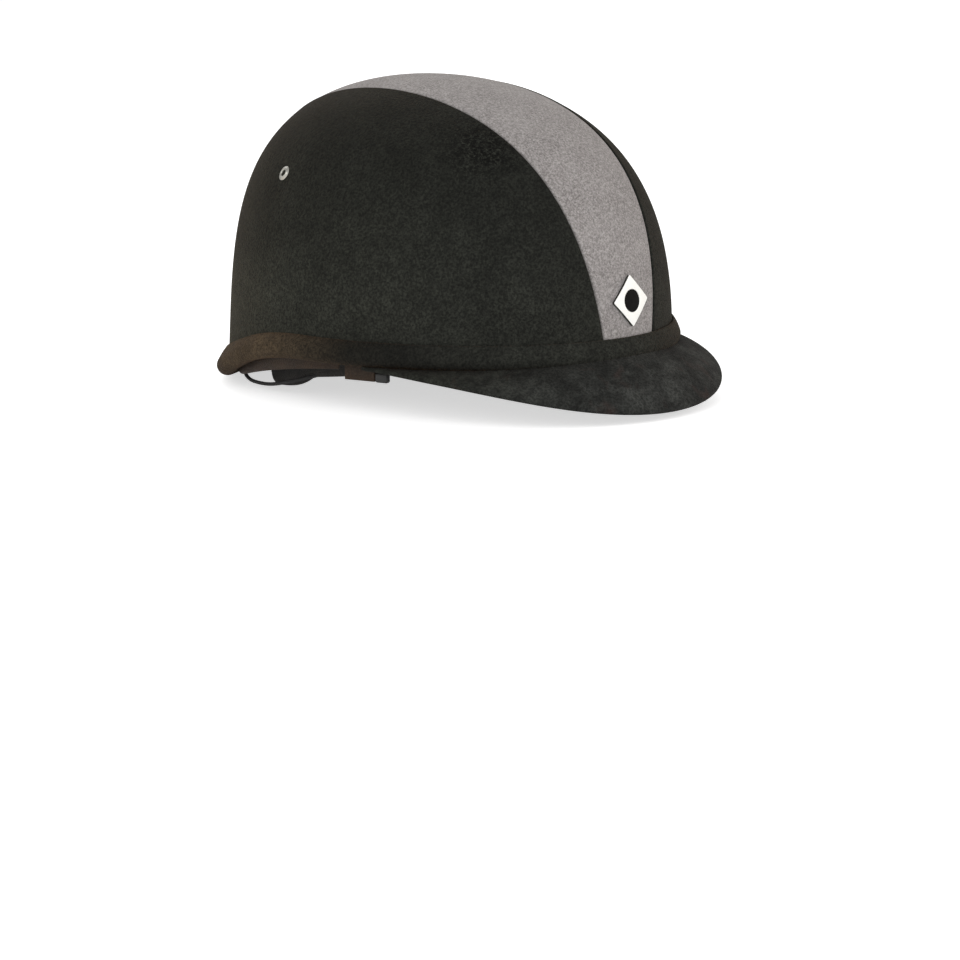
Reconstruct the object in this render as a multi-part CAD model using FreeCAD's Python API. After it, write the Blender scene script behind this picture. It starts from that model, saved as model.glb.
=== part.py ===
"""Riding helmet in millimetres: +Z up, the peak points to -Y, the wearer's right is -X.

The origin is the middle of the head opening, level with the rim at the wearer's ears.
"""
import FreeCAD, Part
import math
import os

from FreeCAD import Placement, Rotation, Vector

os.makedirs("parts", exist_ok=True)

# ---- driving dimensions -------------------------------------------------------------------
# outside of the covered shell at the rim plane
shell_half_length = 128.0
shell_half_width = 108.0
dome_height = 142.0

# layers, from the outside in
cover_thickness = 1.2
shell_thickness = 3.0
liner_thickness = 19.0
harness_slot = 2.3
pad_thickness = 5.0

# the rim line in side view: level past the ears, then a dip to the nape
rim_level = 1.0
rim_dip_from = 5.0
rim_slope_from = 60.0
rim_slope_to = 92.0
rim_dip_to = 128.0
rim_dip_angle = 19.5

# the top edge of the rim band
band_level = 14.2
band_dip_from = 8.0
band_slope_from = 55.0
band_slope_to = 98.0
band_dip_to = 130.0
band_dip_angle = 16.2
band_skin = 1.2
band_lip = 1.0
band_back = 0.1
bead_radius = 6.0
bead_front_radius = 4.9
bead_centre_out = 0.6
band_sections = 16
shell_edge_lift = 4.5
liner_edge_lift = 3.5

# centre panel: half width at the rim's middle, and how it widens
panel_half_width = 12.8
panel_widening_up = 0.1694
panel_widening_forward = 0.0375
panel_groove = 0.4

# peak
peak_side_reach = 0.2
peak_front_reach = 30.9
peak_root_back = 21.4
peak_half_width = shell_half_width + peak_side_reach
peak_half_length = shell_half_length + peak_front_reach - peak_root_back
peak_shoulder = 0.131
peak_side_level = 1.1
peak_tip_level = -22.1
peak_side_lift = 18.4
peak_shoulder_dip = 6.8
peak_crown = 3.5
peak_crown_fall = 2
peak_root_spread = 0.87
peak_root_inset = 2.0
peak_root_side_lift = 0.7
peak_root_front_lift = 5.6
peak_root_fall = 4
peak_root_thickness = 8.0
peak_edge_thickness = 3.4
peak_cover = 0.7
peak_glue = 0.05
peak_end_taper = 0.35
peak_taper_angle = 35.0
peak_end_angle = 84.0
peak_sections = 15
peak_spans = 6

# vent eyelets
eyelet_back = 39.5
eyelet_height = 94.5
eyelet_flange_radius = 4.1
eyelet_hole_radius = 1.8
eyelet_wall = 0.5
eyelet_proud = 0.8
eyelet_edge = 0.2
eyelet_washer_radius = 5.0
eyelet_washer_thickness = 0.6
eyelet_washer_gap = 0.5

# badge
badge_height = 32.5
badge_half_diagonal = 13.5
badge_thickness = 1.6
badge_seat = 0.1
badge_corner_radius = 0.9
badge_border = 3.6
badge_inlay_depth = 0.5
badge_pin_radius = 0.8
badge_pin_spacing = 12.0

# comfort pads
front_pad_end = 64.0
rear_pad_start = 128.0
front_pad_top = 34.0
rear_pad_top = 30.0
front_pad_lift = 3.0
rear_pad_lift = 18.0
patch_width = 16.0
patch_height = 12.0
patch_angles_front = (-50.0, 0.0, 50.0)
patch_angles_rear = (140.0, 180.0, 220.0)
crown_pad_half_length = 52.0
crown_pad_half_width = 36.0
crown_pad_drop = 1.6
crown_pad_thickness = 6.0
crown_patch_thickness = 1.2

# webbing harness, tucked up inside
webbing_width = 16.0
webbing_thickness = 1.6
hinge_x = 66.0
hinge_z = -4.4
fold_clearance = 0.35
front_root_y = -27.0
rear_root_y = 38.0
divider_y = 5.0
divider_level = 52.0
divider_height = 9.0
divider_width = 36.0
divider_bar_radius = 2.2
anchor_top = 34.0
anchor_inset = 6.2
rivet_level = 24.0
rivet_radius = 2.0
rivet_head_radius = 3.6
rivet_head_depth = 1.2
rivet_sink = 1.3
rivet_cap_depth = 0.9
washer_radius = 5.0
washer_thickness = 0.8
pocket_clearance = 0.4

# leather tab round each front anchor below the rim, and the moulded end beside it
tab_half_width = 9.2
tab_low = -7.7
tab_high = 3.0
tab_proud = 0.4
tab_depth = 2.4
tab_end_gap = 0.3
tab_end_length = 7.6
tab_end_low = -8.0
tab_end_high = -2.8
tab_end_proud = 0.8
tab_end_depth = 3.0
tab_end_round = 1.2

# buckle
buckle_half_width = 11.0
buckle_half_thickness = 4.0
buckle_top = 34.0
socket_length = 27.0
socket_wall = 1.5
clip_base_length = 9.0
clip_tongue_length = 20.0
prong_length = 18.0
prong_width = 3.4
loop_wall = 1.6
webbing_tuck = 6.0
slider_level = 43.0
slider_length = 7.0
slider_wall = 0.8

# nape harness
wing_start = 86.0
wing_end = 173.0
wing_height = 16.0
wing_thickness = 1.8
wing_low = -10.5
wing_slope = 0.13
lace_radius = 1.0
lace_rungs = 3
lace_hole_angle = 169.5
lace_eyelet_radius = 2.4

# leather strip that lines the rim and hangs a little below it beside the ears
strip_inset = 5.05
strip_thickness = 0.8
strip_gap = 0.1
strip_start = 83.0
strip_end = 143.5
strip_level = -1.75
strip_dip_from = -45.0
strip_slope_from = 62.0
strip_slope_to = 80.0
strip_dip_to = 120.0
strip_dip_angle = 13.5

clearance = 0.3
far = 260.0
skirt_depth = 60.0

# ---- the dome family ----------------------------------------------------------------------
# meridian poles: share of the rim's half axes, share of the height, rearward lean as a
# share of the shell's half length
MERIDIAN = ((1.0, 0.0, 0.0), (0.994, 0.557, -0.0268), (0.894, 0.985, 0.0691),
            (0.147, 1.0, 0.1023), (0.0, 1.0, 0.1023))
CORNERS = ((0, 1), (-1, 1), (-1, 0), (-1, -1), (0, -1), (1, -1), (1, 0), (1, 1), (0, 1))
CORNER_WEIGHT = math.sqrt(0.5)


def wall_lean():
    """Rearward lean of the wall near the rim, in mm for each mm of height."""
    return MERIDIAN[1][2] * shell_half_length / (MERIDIAN[1][1] * dome_height)


def ellipse_row(inset, share, height, shift):
    return [Vector(x * share * (shell_half_width - inset),
                   y * share * (shell_half_length - inset) + shift, height)
            for x, y in CORNERS]


def ring_surface(rows):
    """B-spline surface through level ellipses; the first row is the lowest."""
    degree = len(rows) - 1
    weights = [[CORNER_WEIGHT if i % 2 else 1.0 for i in range(9)] for _ in rows]
    surface = Part.BSplineSurface()
    surface.buildFromPolesMultsKnots(rows, (degree + 1, degree + 1), (3, 2, 2, 2, 3), (0, 1),
                                     (0, 0.25, 0.5, 0.75, 1), False, False, degree, 2, weights)
    return surface


def dome_surface(inset):
    rows = []
    for share, rise, lean in MERIDIAN:
        rows.append(ellipse_row(inset, share, rise * (dome_height - inset),
                                lean * shell_half_length))
    return ring_surface(rows)


def skirt_surface(inset, depth):
    """The wall carried straight down below the rim plane, in line with the dome."""
    share, rise, lean = MERIDIAN[1]
    back = depth / (rise * (dome_height - inset))
    low = ellipse_row(inset, 1 + (1 - share) * back, -depth, -lean * shell_half_length * back)
    return ring_surface([low, ellipse_row(inset, 1.0, 0.0, 0.0)])


def dome_body(inset, depth=skirt_depth):
    dome = dome_surface(inset).toShape()
    skirt = skirt_surface(inset, depth).toShape()
    lowest = [edge for edge in skirt.Edges if edge.BoundBox.ZMax < -depth + 0.01]
    base = Part.Face(Part.Wire(lowest))
    shell = Part.Shell([dome, skirt, base])
    shell.sewShape()
    body = Part.Solid(shell)
    if body.Volume < 0:
        body.reverse()
    return body


def wall_point(theta, inset, height):
    """Point on the wall near the rim; theta runs from the front round by the right."""
    angle = math.radians(theta)
    share, rise, lean = MERIDIAN[1]
    spread = 1 - (1 - share) * height / (rise * dome_height)
    return Vector(-(shell_half_width - inset) * spread * math.sin(angle),
                  -(shell_half_length - inset) * spread * math.cos(angle)
                  + wall_lean() * height, height)


def wall_turn(theta, inset):
    """Turn about Z that lays +X outwards along the wall's normal at theta."""
    angle = math.radians(theta)
    normal = Vector(-math.sin(angle) / (shell_half_width - inset),
                    -math.cos(angle) / (shell_half_length - inset), 0)
    return math.degrees(math.atan2(normal.y, normal.x))


def at_wall(shape, theta, inset):
    """Move a shape built about the origin, +X outwards, to the wall at theta."""
    moved = shape.copy()
    turn = Rotation(Vector(0, 0, 1), wall_turn(theta, inset))
    moved.Placement = Placement(wall_point(theta, inset, 0), turn).multiply(moved.Placement)
    return moved


def theta_at(y, inset):
    return math.degrees(math.acos(-y / (shell_half_length - inset)))


# ---- rim lines ----------------------------------------------------------------------------
RIM = (rim_level, rim_dip_from, rim_slope_from, rim_slope_to, rim_dip_to, rim_dip_angle)
BAND = (band_level, band_dip_from, band_slope_from, band_slope_to, band_dip_to, band_dip_angle)
STRIP = (strip_level, strip_dip_from, strip_slope_from, strip_slope_to, strip_dip_to,
         strip_dip_angle)


def line_height(line, y):
    """Height of a rim line at plan position y: level, arc, slope, arc, level."""
    level, start, slope_from, slope_to, end, angle = line
    turn = math.radians(angle)

    def arc(run, reach):
        radius = reach / math.sin(turn)
        return radius - math.sqrt(radius ** 2 - run ** 2)

    first, last = slope_from - start, end - slope_to
    drop = arc(min(max(y - start, 0), first), first)
    drop += min(max(y - slope_from, 0), slope_to - slope_from) * math.tan(turn)
    drop += arc(last, last) - arc(last - min(max(y - slope_to, 0), last), last)
    return level - drop


def above(line, lift, top=far):
    """Everything above a rim line raised by lift."""
    level, start, slope_from, slope_to, end, angle = line

    def spot(y):
        return Vector(-far, y, line_height(line, y) + lift)

    edges = [Part.makeLine(spot(-far), spot(start))]
    edges.append(Part.Arc(spot(start), spot((start + slope_from) / 2), spot(slope_from)).toShape())
    edges.append(Part.makeLine(spot(slope_from), spot(slope_to)))
    edges.append(Part.Arc(spot(slope_to), spot((slope_to + end) / 2), spot(end)).toShape())
    edges.append(Part.makeLine(spot(end), spot(far)))
    edges.append(Part.makeLine(spot(far), Vector(-far, far, top)))
    edges.append(Part.makeLine(Vector(-far, far, top), Vector(-far, -far, top)))
    edges.append(Part.makeLine(Vector(-far, -far, top), spot(-far)))
    return Part.Face(Part.Wire(edges)).extrude(Vector(2 * far, 0, 0))


def box(low, high):
    return Part.makeBox(high[0] - low[0], high[1] - low[1], high[2] - low[2], Vector(*low))


def mirrored(shape):
    """The wearer's left twin of a right-hand piece."""
    return shape.mirror(Vector(0, 0, 0), Vector(1, 0, 0))


def curve(points):
    line = Part.BSplineCurve()
    line.interpolate(points)
    return line.toShape()


# ---- layers -------------------------------------------------------------------------------
inset_shell = cover_thickness
inset_liner = inset_shell + shell_thickness
inset_slot = inset_liner + liner_thickness
inset_pad = inset_slot + harness_slot

outer_body = dome_body(0.0)
shell_body = dome_body(inset_shell, skirt_depth + 2)
liner_body = dome_body(inset_liner, skirt_depth + 4)
slot_body = dome_body(inset_slot, skirt_depth + 6)


def panel_plane(side, gap):
    """Half space beyond one seam of the centre panel, gap mm further out."""
    back = Vector(-panel_widening_forward, 1, 0)
    rise = Vector(panel_widening_up, 0, 1)
    start = Vector(panel_half_width + gap, 0, 0)
    corners = []
    for along, up in ((-1, -1), (1, -1), (1, 1), (-1, 1)):
        spot = start + rise * (up * far) + back * (along * far)
        corners.append(Vector(spot.x * side, spot.y, spot.z))
    face = Part.Face(Part.makePolygon(corners + corners[:1]))
    return face.extrude(Vector(2 * far * side, 0, 0))


def make_covers():
    skin = outer_body.cut(shell_body).common(above(RIM, shell_edge_lift))
    groove = panel_groove / 2
    side_right = skin.common(panel_plane(-1, groove))
    side_left = skin.common(panel_plane(1, groove))
    centre = skin.cut(panel_plane(-1, -groove)).cut(panel_plane(1, -groove))
    return side_right, side_left, centre


# ---- rim band -----------------------------------------------------------------------------
def bead_size(theta):
    """Radius of the bead and its centre's distance outside the shell, less at the front."""
    cosine = max(0.0, math.cos(math.radians(theta)))
    slim = (bead_radius - bead_front_radius) * cosine * cosine * (3 - 2 * cosine)
    return bead_radius - slim, bead_centre_out - slim


def band_section(theta, part):
    """Section of the band at theta: its skin, the bead inside it, or the whole outline."""
    y = wall_point(theta, 0, line_height(RIM, wall_point(theta, 0, 0).y)).y
    top = line_height(BAND, y)
    rim = line_height(RIM, y)
    outer_radius, centre_out = bead_size(theta)
    centre = rim + outer_radius
    end_level = rim + liner_edge_lift - clearance

    def spot(out, height):
        return wall_point(theta, -out, height)

    def round_spot(radius, angle):
        turn = math.radians(angle)
        return spot(centre_out + radius * math.cos(turn), centre + radius * math.sin(turn))

    def end_angle(radius):
        return -180 + math.degrees(math.asin((centre - end_level) / radius))

    def bead(radius):
        last = end_angle(radius)
        side = Part.Arc(round_spot(radius, touch), round_spot(radius, (touch - 90) / 2),
                        round_spot(radius, -90)).toShape()
        under = Part.Arc(round_spot(radius, -90), round_spot(radius, (last - 90) / 2),
                         round_spot(radius, last)).toShape()
        return [side, under]

    run, rise = centre_out - band_lip, top - centre
    touch = math.degrees(math.atan2(rise, -run) - math.acos(outer_radius / math.hypot(run, rise)))
    turn = math.radians(touch)
    inner_radius = outer_radius - band_skin
    # the slope's inner face, a skin's thickness in, meets the wall at this height
    inner_top = top - (band_skin - (band_lip - band_back) * math.cos(turn)) / math.sin(turn)
    # the whole outline, which trims the peak, stands a glue line further out
    if part == "whole":
        outer_radius += peak_glue
    outer_end = round_spot(outer_radius, end_angle(outer_radius))
    inner_end = round_spot(inner_radius, end_angle(inner_radius))
    if part == "bead":
        shelf = rim + shell_edge_lift - clearance
        corners = [inner_end, Vector(inner_end.x, inner_end.y, shelf), spot(band_back, shelf),
                   spot(band_back, inner_top), round_spot(inner_radius, touch)]
        return Part.Wire([Part.makePolygon(corners)] + bead(inner_radius))
    slope = [spot(band_back, top), spot(band_lip, top), round_spot(outer_radius, touch)]
    if part == "skin":
        back = [round_spot(inner_radius, touch), spot(band_back, inner_top), slope[0]]
        turned = [Part.makePolygon(back)] + bead(inner_radius)
        return Part.Wire(Part.__sortEdges__(
            Part.makePolygon(slope).Edges + bead(outer_radius)
            + [Part.makeLine(outer_end, inner_end)] + [edge for piece in turned
                                                       for edge in piece.Edges]))
    inside = inset_liner + clearance
    back = [outer_end, spot(-inside, end_level), spot(-inside, top), slope[0]]
    return Part.Wire(Part.__sortEdges__(Part.makePolygon(slope).Edges + bead(outer_radius)
                                        + Part.makePolygon(back).Edges))


def band_ring(part):
    sections = [band_section(180.0 * i / band_sections, part) for i in range(band_sections + 1)]
    half = Part.makeLoft(sections, True)
    return half.fuse(mirrored(half)).removeSplitter()


def make_rim_strip():
    """Strip inside the band on the wearer's right, from under the liner to below the rim."""
    ring = dome_body(strip_inset).cut(dome_body(strip_inset + strip_thickness, skirt_depth + 10))
    ring = ring.common(sector(strip_start, strip_end, strip_inset))
    return ring.common(above(STRIP, 0)).cut(above(RIM, liner_edge_lift - strip_gap, 2 * far))


# ---- peak ---------------------------------------------------------------------------------
def peak_frame(angle):
    """Root point, run to the edge and upward normal of the peak's section at this angle."""
    turn = math.radians(angle)
    sine, cosine = math.sin(turn), math.cos(turn)
    shoulder = (sine * cosine) ** 2
    edge = Vector(-peak_half_width * sine * (1 + peak_shoulder * cosine ** 2),
                  -peak_root_back - peak_half_length * cosine,
                  peak_side_level + (peak_tip_level - peak_side_level) * cosine
                  + peak_side_lift * sine * sine * cosine - peak_shoulder_dip * shoulder)
    root = wall_point(angle * peak_root_spread, peak_root_inset,
                      rim_level + peak_root_side_lift
                      + peak_root_front_lift * cosine ** peak_root_fall)
    along = edge - root
    flat = Vector(along.x, along.y, 0)
    normal = Vector(-flat.x * along.z, -flat.y * along.z, flat.Length ** 2)
    normal.normalize()
    return root, along, normal


def peak_section(angle, layer):
    root, along, normal = peak_frame(angle)
    length = along.Length
    cosine = math.cos(math.radians(angle))
    root_thickness = peak_edge_thickness + (peak_root_thickness - peak_edge_thickness) * cosine
    taper = min(1.0, peak_end_taper + (90 - abs(angle)) / peak_taper_angle)
    edge_thickness = peak_edge_thickness * taper
    end = 1 - edge_thickness / 2 / length
    middle = edge_thickness / 2

    def spot(share, depth):
        crown = peak_crown * cosine ** peak_crown_fall * 4 * share * (1 - share)
        return root + along * share + normal * (crown + middle * share - depth)

    def rim_spot(reach, depth):
        return spot(end, depth) + along * (reach / length)

    def upper(depth):
        return curve([spot(end * i / peak_spans, depth) for i in range(peak_spans + 1)])

    def lower(inset):
        points = []
        for i in range(peak_spans + 1):
            part = i / peak_spans
            thick = root_thickness + (edge_thickness - root_thickness) * part
            points.append(spot(end * part, thick - inset))
        return curve(points)

    def rim(inset):
        return Part.Arc(rim_spot(0, inset), rim_spot(middle - inset, middle),
                        rim_spot(0, edge_thickness - inset)).toShape()

    if layer == "top":
        outer, inner = upper(0.0), upper(peak_cover)
        parts = [outer, rim(0.0),
                 Part.makeLine(rim_spot(0, edge_thickness), rim_spot(0, edge_thickness - peak_cover)),
                 rim(peak_cover), inner, Part.makeLine(spot(0, peak_cover), spot(0, 0))]
    elif layer == "under":
        parts = [lower(0.0),
                 Part.makeLine(rim_spot(0, edge_thickness), rim_spot(0, edge_thickness - peak_cover)),
                 lower(peak_cover),
                 Part.makeLine(spot(0, root_thickness - peak_cover), spot(0, root_thickness))]
    else:
        skin = peak_cover + peak_glue
        parts = [upper(skin), rim(skin), lower(skin),
                 Part.makeLine(spot(0, root_thickness - skin), spot(0, skin))]
    return Part.Wire(Part.__sortEdges__(parts))


def make_peak(band_outer):
    front = box((-far, -far, -far), (far, 0, 3 * bead_radius))
    behind = outer_body.common(above(RIM, shell_edge_lift)).common(front)
    lined = liner_body.common(above(RIM, liner_edge_lift)).common(front)
    pieces = []
    for layer in ("core", "top", "under"):
        sections = []
        for i in range(peak_sections):
            angle = -peak_end_angle + 2 * peak_end_angle * i / (peak_sections - 1)
            sections.append(peak_section(angle, layer))
        solid = Part.makeLoft(sections, True)
        solid = solid.cut(band_outer).cut(behind).cut(lined)
        pieces.append(max(solid.Solids, key=lambda piece: piece.Volume))
    return pieces


# ---- shell, liner and what goes through them ------------------------------------------------
def surface_frame(y, z):
    """Point and outward normal of the covered shell on the wearer's right, at y and z."""
    surface = dome_surface(0.0)
    u, v = surface.parameter(Vector(-shell_half_width, y, z))
    spot = surface.value(u, v)
    normal = surface.normal(u, v)
    if normal.dot(spot) < 0:
        normal = normal * -1
    return spot, normal


def tube(start, axis, radius, length, hole=0.0):
    solid = Part.makeCylinder(radius, length, start, axis)
    if hole:
        solid = solid.cut(Part.makeCylinder(hole, length, start, axis))
    return solid


vent_spot, vent_normal = surface_frame(eyelet_back, eyelet_height)
eyelet_radius = eyelet_hole_radius + eyelet_wall


def make_eyelet():
    """Flanged tube through cover and shell, and the washer it is rolled over inside."""
    washer_depth = inset_liner + eyelet_washer_gap
    tube_length = washer_depth + eyelet_washer_thickness + eyelet_wall
    flange = tube(vent_spot, vent_normal, eyelet_flange_radius, eyelet_proud)
    rims = [edge for edge in flange.Edges if edge.Closed
            and (edge.Curve.Center - vent_spot).dot(vent_normal) > eyelet_proud / 2]
    flange = flange.makeFillet(eyelet_proud - eyelet_edge, rims)
    barrel = tube(vent_spot - vent_normal * tube_length, vent_normal, eyelet_radius, tube_length)
    bore = tube(vent_spot - vent_normal * far / 4, vent_normal, eyelet_hole_radius, far / 2)
    eyelet = flange.fuse(barrel).cut(bore)
    washer = tube(vent_spot - vent_normal * (washer_depth + eyelet_washer_thickness), vent_normal,
                  eyelet_washer_radius, eyelet_washer_thickness, eyelet_radius)
    return eyelet, washer


def vent_cutters():
    reach = 1.5 * inset_slot
    through = tube(vent_spot - vent_normal * reach, vent_normal, eyelet_radius, 2 * reach)
    recess_depth = (shell_thickness + eyelet_washer_gap + eyelet_washer_thickness + eyelet_wall
                    + clearance)
    recess = tube(vent_spot - vent_normal * (inset_shell + recess_depth), vent_normal,
                  eyelet_washer_radius + clearance, recess_depth)
    return through, recess


def anchor_turn(root_y):
    return theta_at(root_y, anchor_inset)


def make_anchor(root_y):
    """Fixed end of one strap: riveted inside the shell, then under the rim to the fold."""
    theta = anchor_turn(root_y)
    half = webbing_width / 2
    leg = at_wall(box((-webbing_thickness, -half, hinge_z - webbing_thickness / 2),
                      (0, half, anchor_top)), theta, anchor_inset)
    low = [vertex.Point for vertex in leg.Vertexes
           if vertex.Point.z < hinge_z]
    low.sort(key=lambda spot: spot.y)
    end_x = -hinge_x - webbing_thickness / 2 - fold_clearance
    front, rear = low[:2], low[2:]
    corners = [min(front, key=lambda spot: spot.x), Vector(end_x, root_y - half, low[0].z),
               Vector(end_x, root_y + half, low[0].z), min(rear, key=lambda spot: spot.x)]
    corners[1].z = corners[2].z = corners[0].z
    run = Part.Face(Part.makePolygon(corners + corners[:1])).extrude(
        Vector(0, 0, webbing_thickness))
    hole = at_wall(tube(Vector(far / 10, 0, rivet_level), Vector(-1, 0, 0), rivet_radius,
                        far / 5), theta, anchor_inset)
    return leg.fuse(run).removeSplitter().cut(hole)


def make_front_tab(anchor):
    """Leather sleeve round the front anchor where it shows below the rim, and its end."""
    theta = anchor_turn(front_root_y)
    sleeve = box((-tab_depth, -tab_half_width, tab_low), (tab_proud, tab_half_width, tab_high))
    start = tab_half_width + tab_end_gap
    end = box((-tab_end_depth, start, tab_end_low),
              (tab_end_proud, start + tab_end_length, tab_end_high))
    end = end.makeFillet(tab_end_round, end.Edges)
    return (at_wall(sleeve, theta, anchor_inset).cut(anchor), at_wall(end, theta, anchor_inset))


def rivet_parts(root_y):
    """Rivet and washer of one anchor, and what they cut from the shell and from the liner."""
    theta = anchor_turn(root_y)
    head = anchor_inset - inset_shell - rivet_sink
    tail = -webbing_thickness - washer_thickness
    inward = Vector(-1, 0, 0)
    rivet = tube(Vector(head, 0, rivet_level), inward, rivet_head_radius, rivet_cap_depth)
    rivet = rivet.fuse(tube(Vector(head, 0, rivet_level), inward, rivet_radius, head - tail))
    rivet = rivet.fuse(tube(Vector(tail, 0, rivet_level), inward, rivet_head_radius,
                            rivet_head_depth))
    bore = tube(Vector(head + rivet_sink + cover_thickness, 0, rivet_level), inward,
                rivet_head_radius, rivet_sink + cover_thickness + rivet_cap_depth)
    bore = bore.fuse(tube(Vector(head, 0, rivet_level), inward, rivet_radius, head - tail))
    washer = tube(Vector(-webbing_thickness, 0, rivet_level), inward, washer_radius,
                  washer_thickness, rivet_radius)
    half = webbing_width / 2 + pocket_clearance
    pocket = box((-webbing_thickness - pocket_clearance, -half, -far / 5),
                 (anchor_inset, half, anchor_top + pocket_clearance))
    well = tube(Vector(anchor_inset, 0, rivet_level), inward, washer_radius + pocket_clearance,
                anchor_inset - tail + rivet_head_depth + pocket_clearance)
    cutter = pocket.fuse(well)
    return [at_wall(shape, theta, anchor_inset) for shape in (rivet, washer, bore, cutter)]


ANCHOR_ROOTS = (front_root_y, rear_root_y)


def make_shell_and_liner(lace, badge_pins):
    shell = shell_body.cut(liner_body).common(above(RIM, shell_edge_lift))
    liner = liner_body.cut(slot_body).common(above(RIM, liner_edge_lift))
    through, recess = vent_cutters()
    rivets, washers = [], []
    for root_y in ANCHOR_ROOTS:
        rivet, washer, bore, pocket = rivet_parts(root_y)
        rivets += [rivet, mirrored(rivet)]
        washers += [washer, mirrored(washer)]
        for twin in (bore, mirrored(bore)):
            shell = shell.cut(twin)
        for twin in (pocket, mirrored(pocket)):
            liner = liner.cut(twin)
    for twin in (through, mirrored(through)):
        shell = shell.cut(twin)
        liner = liner.cut(twin)
    for twin in (recess, mirrored(recess)):
        liner = liner.cut(twin)
    shell = shell.cut(badge_pins)
    liner = liner.cut(lace)
    return shell, liner, rivets, washers


# ---- badge --------------------------------------------------------------------------------
def front_layer(inner, outer):
    """Front part of the layer between two distances outside the covered shell."""
    front = box((-far, -far, 0), (far, -shell_half_length / 2, far))
    return dome_body(-outer).cut(dome_body(-inner, skirt_depth + 2)).common(front)


def make_badge():
    """Lozenge plate that follows the shell, a round enamel inlay and two pins."""
    half = badge_half_diagonal
    corners = [Vector(x * half, 0, badge_height + z * half)
               for x, z in ((0, 1), (-1, 0), (0, -1), (1, 0), (0, 1))]
    column = Part.Face(Part.makePolygon(corners)).extrude(Vector(0, -far, 0))
    long_edges = [edge for edge in column.Edges if edge.Length > far / 2]
    column = column.makeFillet(badge_corner_radius, long_edges)
    centre = Vector(0, 0, badge_height)
    inlay_radius = half / math.sqrt(2) - badge_border
    round_column = tube(centre, Vector(0, -1, 0), inlay_radius, far)
    floor = badge_thickness - badge_inlay_depth
    inlay = front_layer(floor, badge_thickness).common(round_column)
    plate = front_layer(badge_seat, badge_thickness).common(column).cut(inlay)
    pins = []
    for side in (-1, 1):
        pins.append(tube(centre + Vector(0, 0, side * badge_pin_spacing / 2), Vector(0, -1, 0),
                         badge_pin_radius, far))
    pins = Part.makeCompound(pins)
    pins = pins.common(dome_body(-badge_seat).cut(dome_body(inset_liner - clearance)))
    return plate, inlay, pins


# ---- comfort pads -------------------------------------------------------------------------
def sector(start, end, inset):
    """Upright wedge between two wall angles."""
    steps = max(2, int(math.ceil((end - start) / 30.0)))
    corners = [Vector(0, 0, -far)]
    for i in range(steps + 1):
        spot = wall_point(start + (end - start) * i / steps, inset, 0) * 2.5
        corners.append(Vector(spot.x, spot.y, -far))
    return Part.Face(Part.makePolygon(corners + corners[:1])).extrude(Vector(0, 0, 2 * far))


def lining(inset, thickness):
    return dome_body(inset).cut(dome_body(inset + thickness, skirt_depth + 10))


def make_pad(start, end, lift, top):
    ring = lining(inset_pad, pad_thickness).common(above(RIM, lift, top))
    return ring.common(sector(start, end, inset_pad))


def make_patches(angles, level):
    """Hook patches on the liner that hold a pad."""
    ring = lining(inset_slot, harness_slot - clearance)
    ring = ring.common(box((-far, -far, level), (far, far, level + patch_height)))
    half = math.degrees(patch_width / 2 / (shell_half_length - inset_slot))
    return [ring.common(sector(angle - half, angle + half, inset_slot)) for angle in angles]


def make_crown():
    centre = Vector(0, MERIDIAN[-1][2] * shell_half_length, 0)
    ellipse = Part.Ellipse(centre, crown_pad_half_length, crown_pad_half_width)
    outline = Part.Wire(ellipse.toShape())
    outline.rotate(centre, Vector(0, 0, 1), 90)
    column = Part.Face(outline).extrude(Vector(0, 0, far))
    pad = lining(inset_slot + crown_pad_drop, crown_pad_thickness).common(column)
    skin = lining(inset_slot, crown_patch_thickness)
    half = patch_width / 2
    patches = []
    for y in (centre.y - crown_pad_half_length / 2, centre.y + crown_pad_half_length / 2):
        patches.append(skin.common(box((-half, y - half, 0), (half, y + half, far))))
    return pad, patches


# ---- webbing straps -----------------------------------------------------------------------
def flat_strap(corners, x, thickness):
    points = [Vector(x - thickness / 2, y, z) for y, z in corners]
    return Part.Face(Part.makePolygon(points + points[:1])).extrude(Vector(thickness, 0, 0))


bar_level = divider_level + divider_height + divider_bar_radius + loop_wall + 2 * clearance
chin_x = -hinge_x + divider_bar_radius + clearance / 2 + webbing_thickness / 2
buckle_x = -hinge_x + webbing_thickness / 2 + pocket_clearance + buckle_half_thickness


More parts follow.
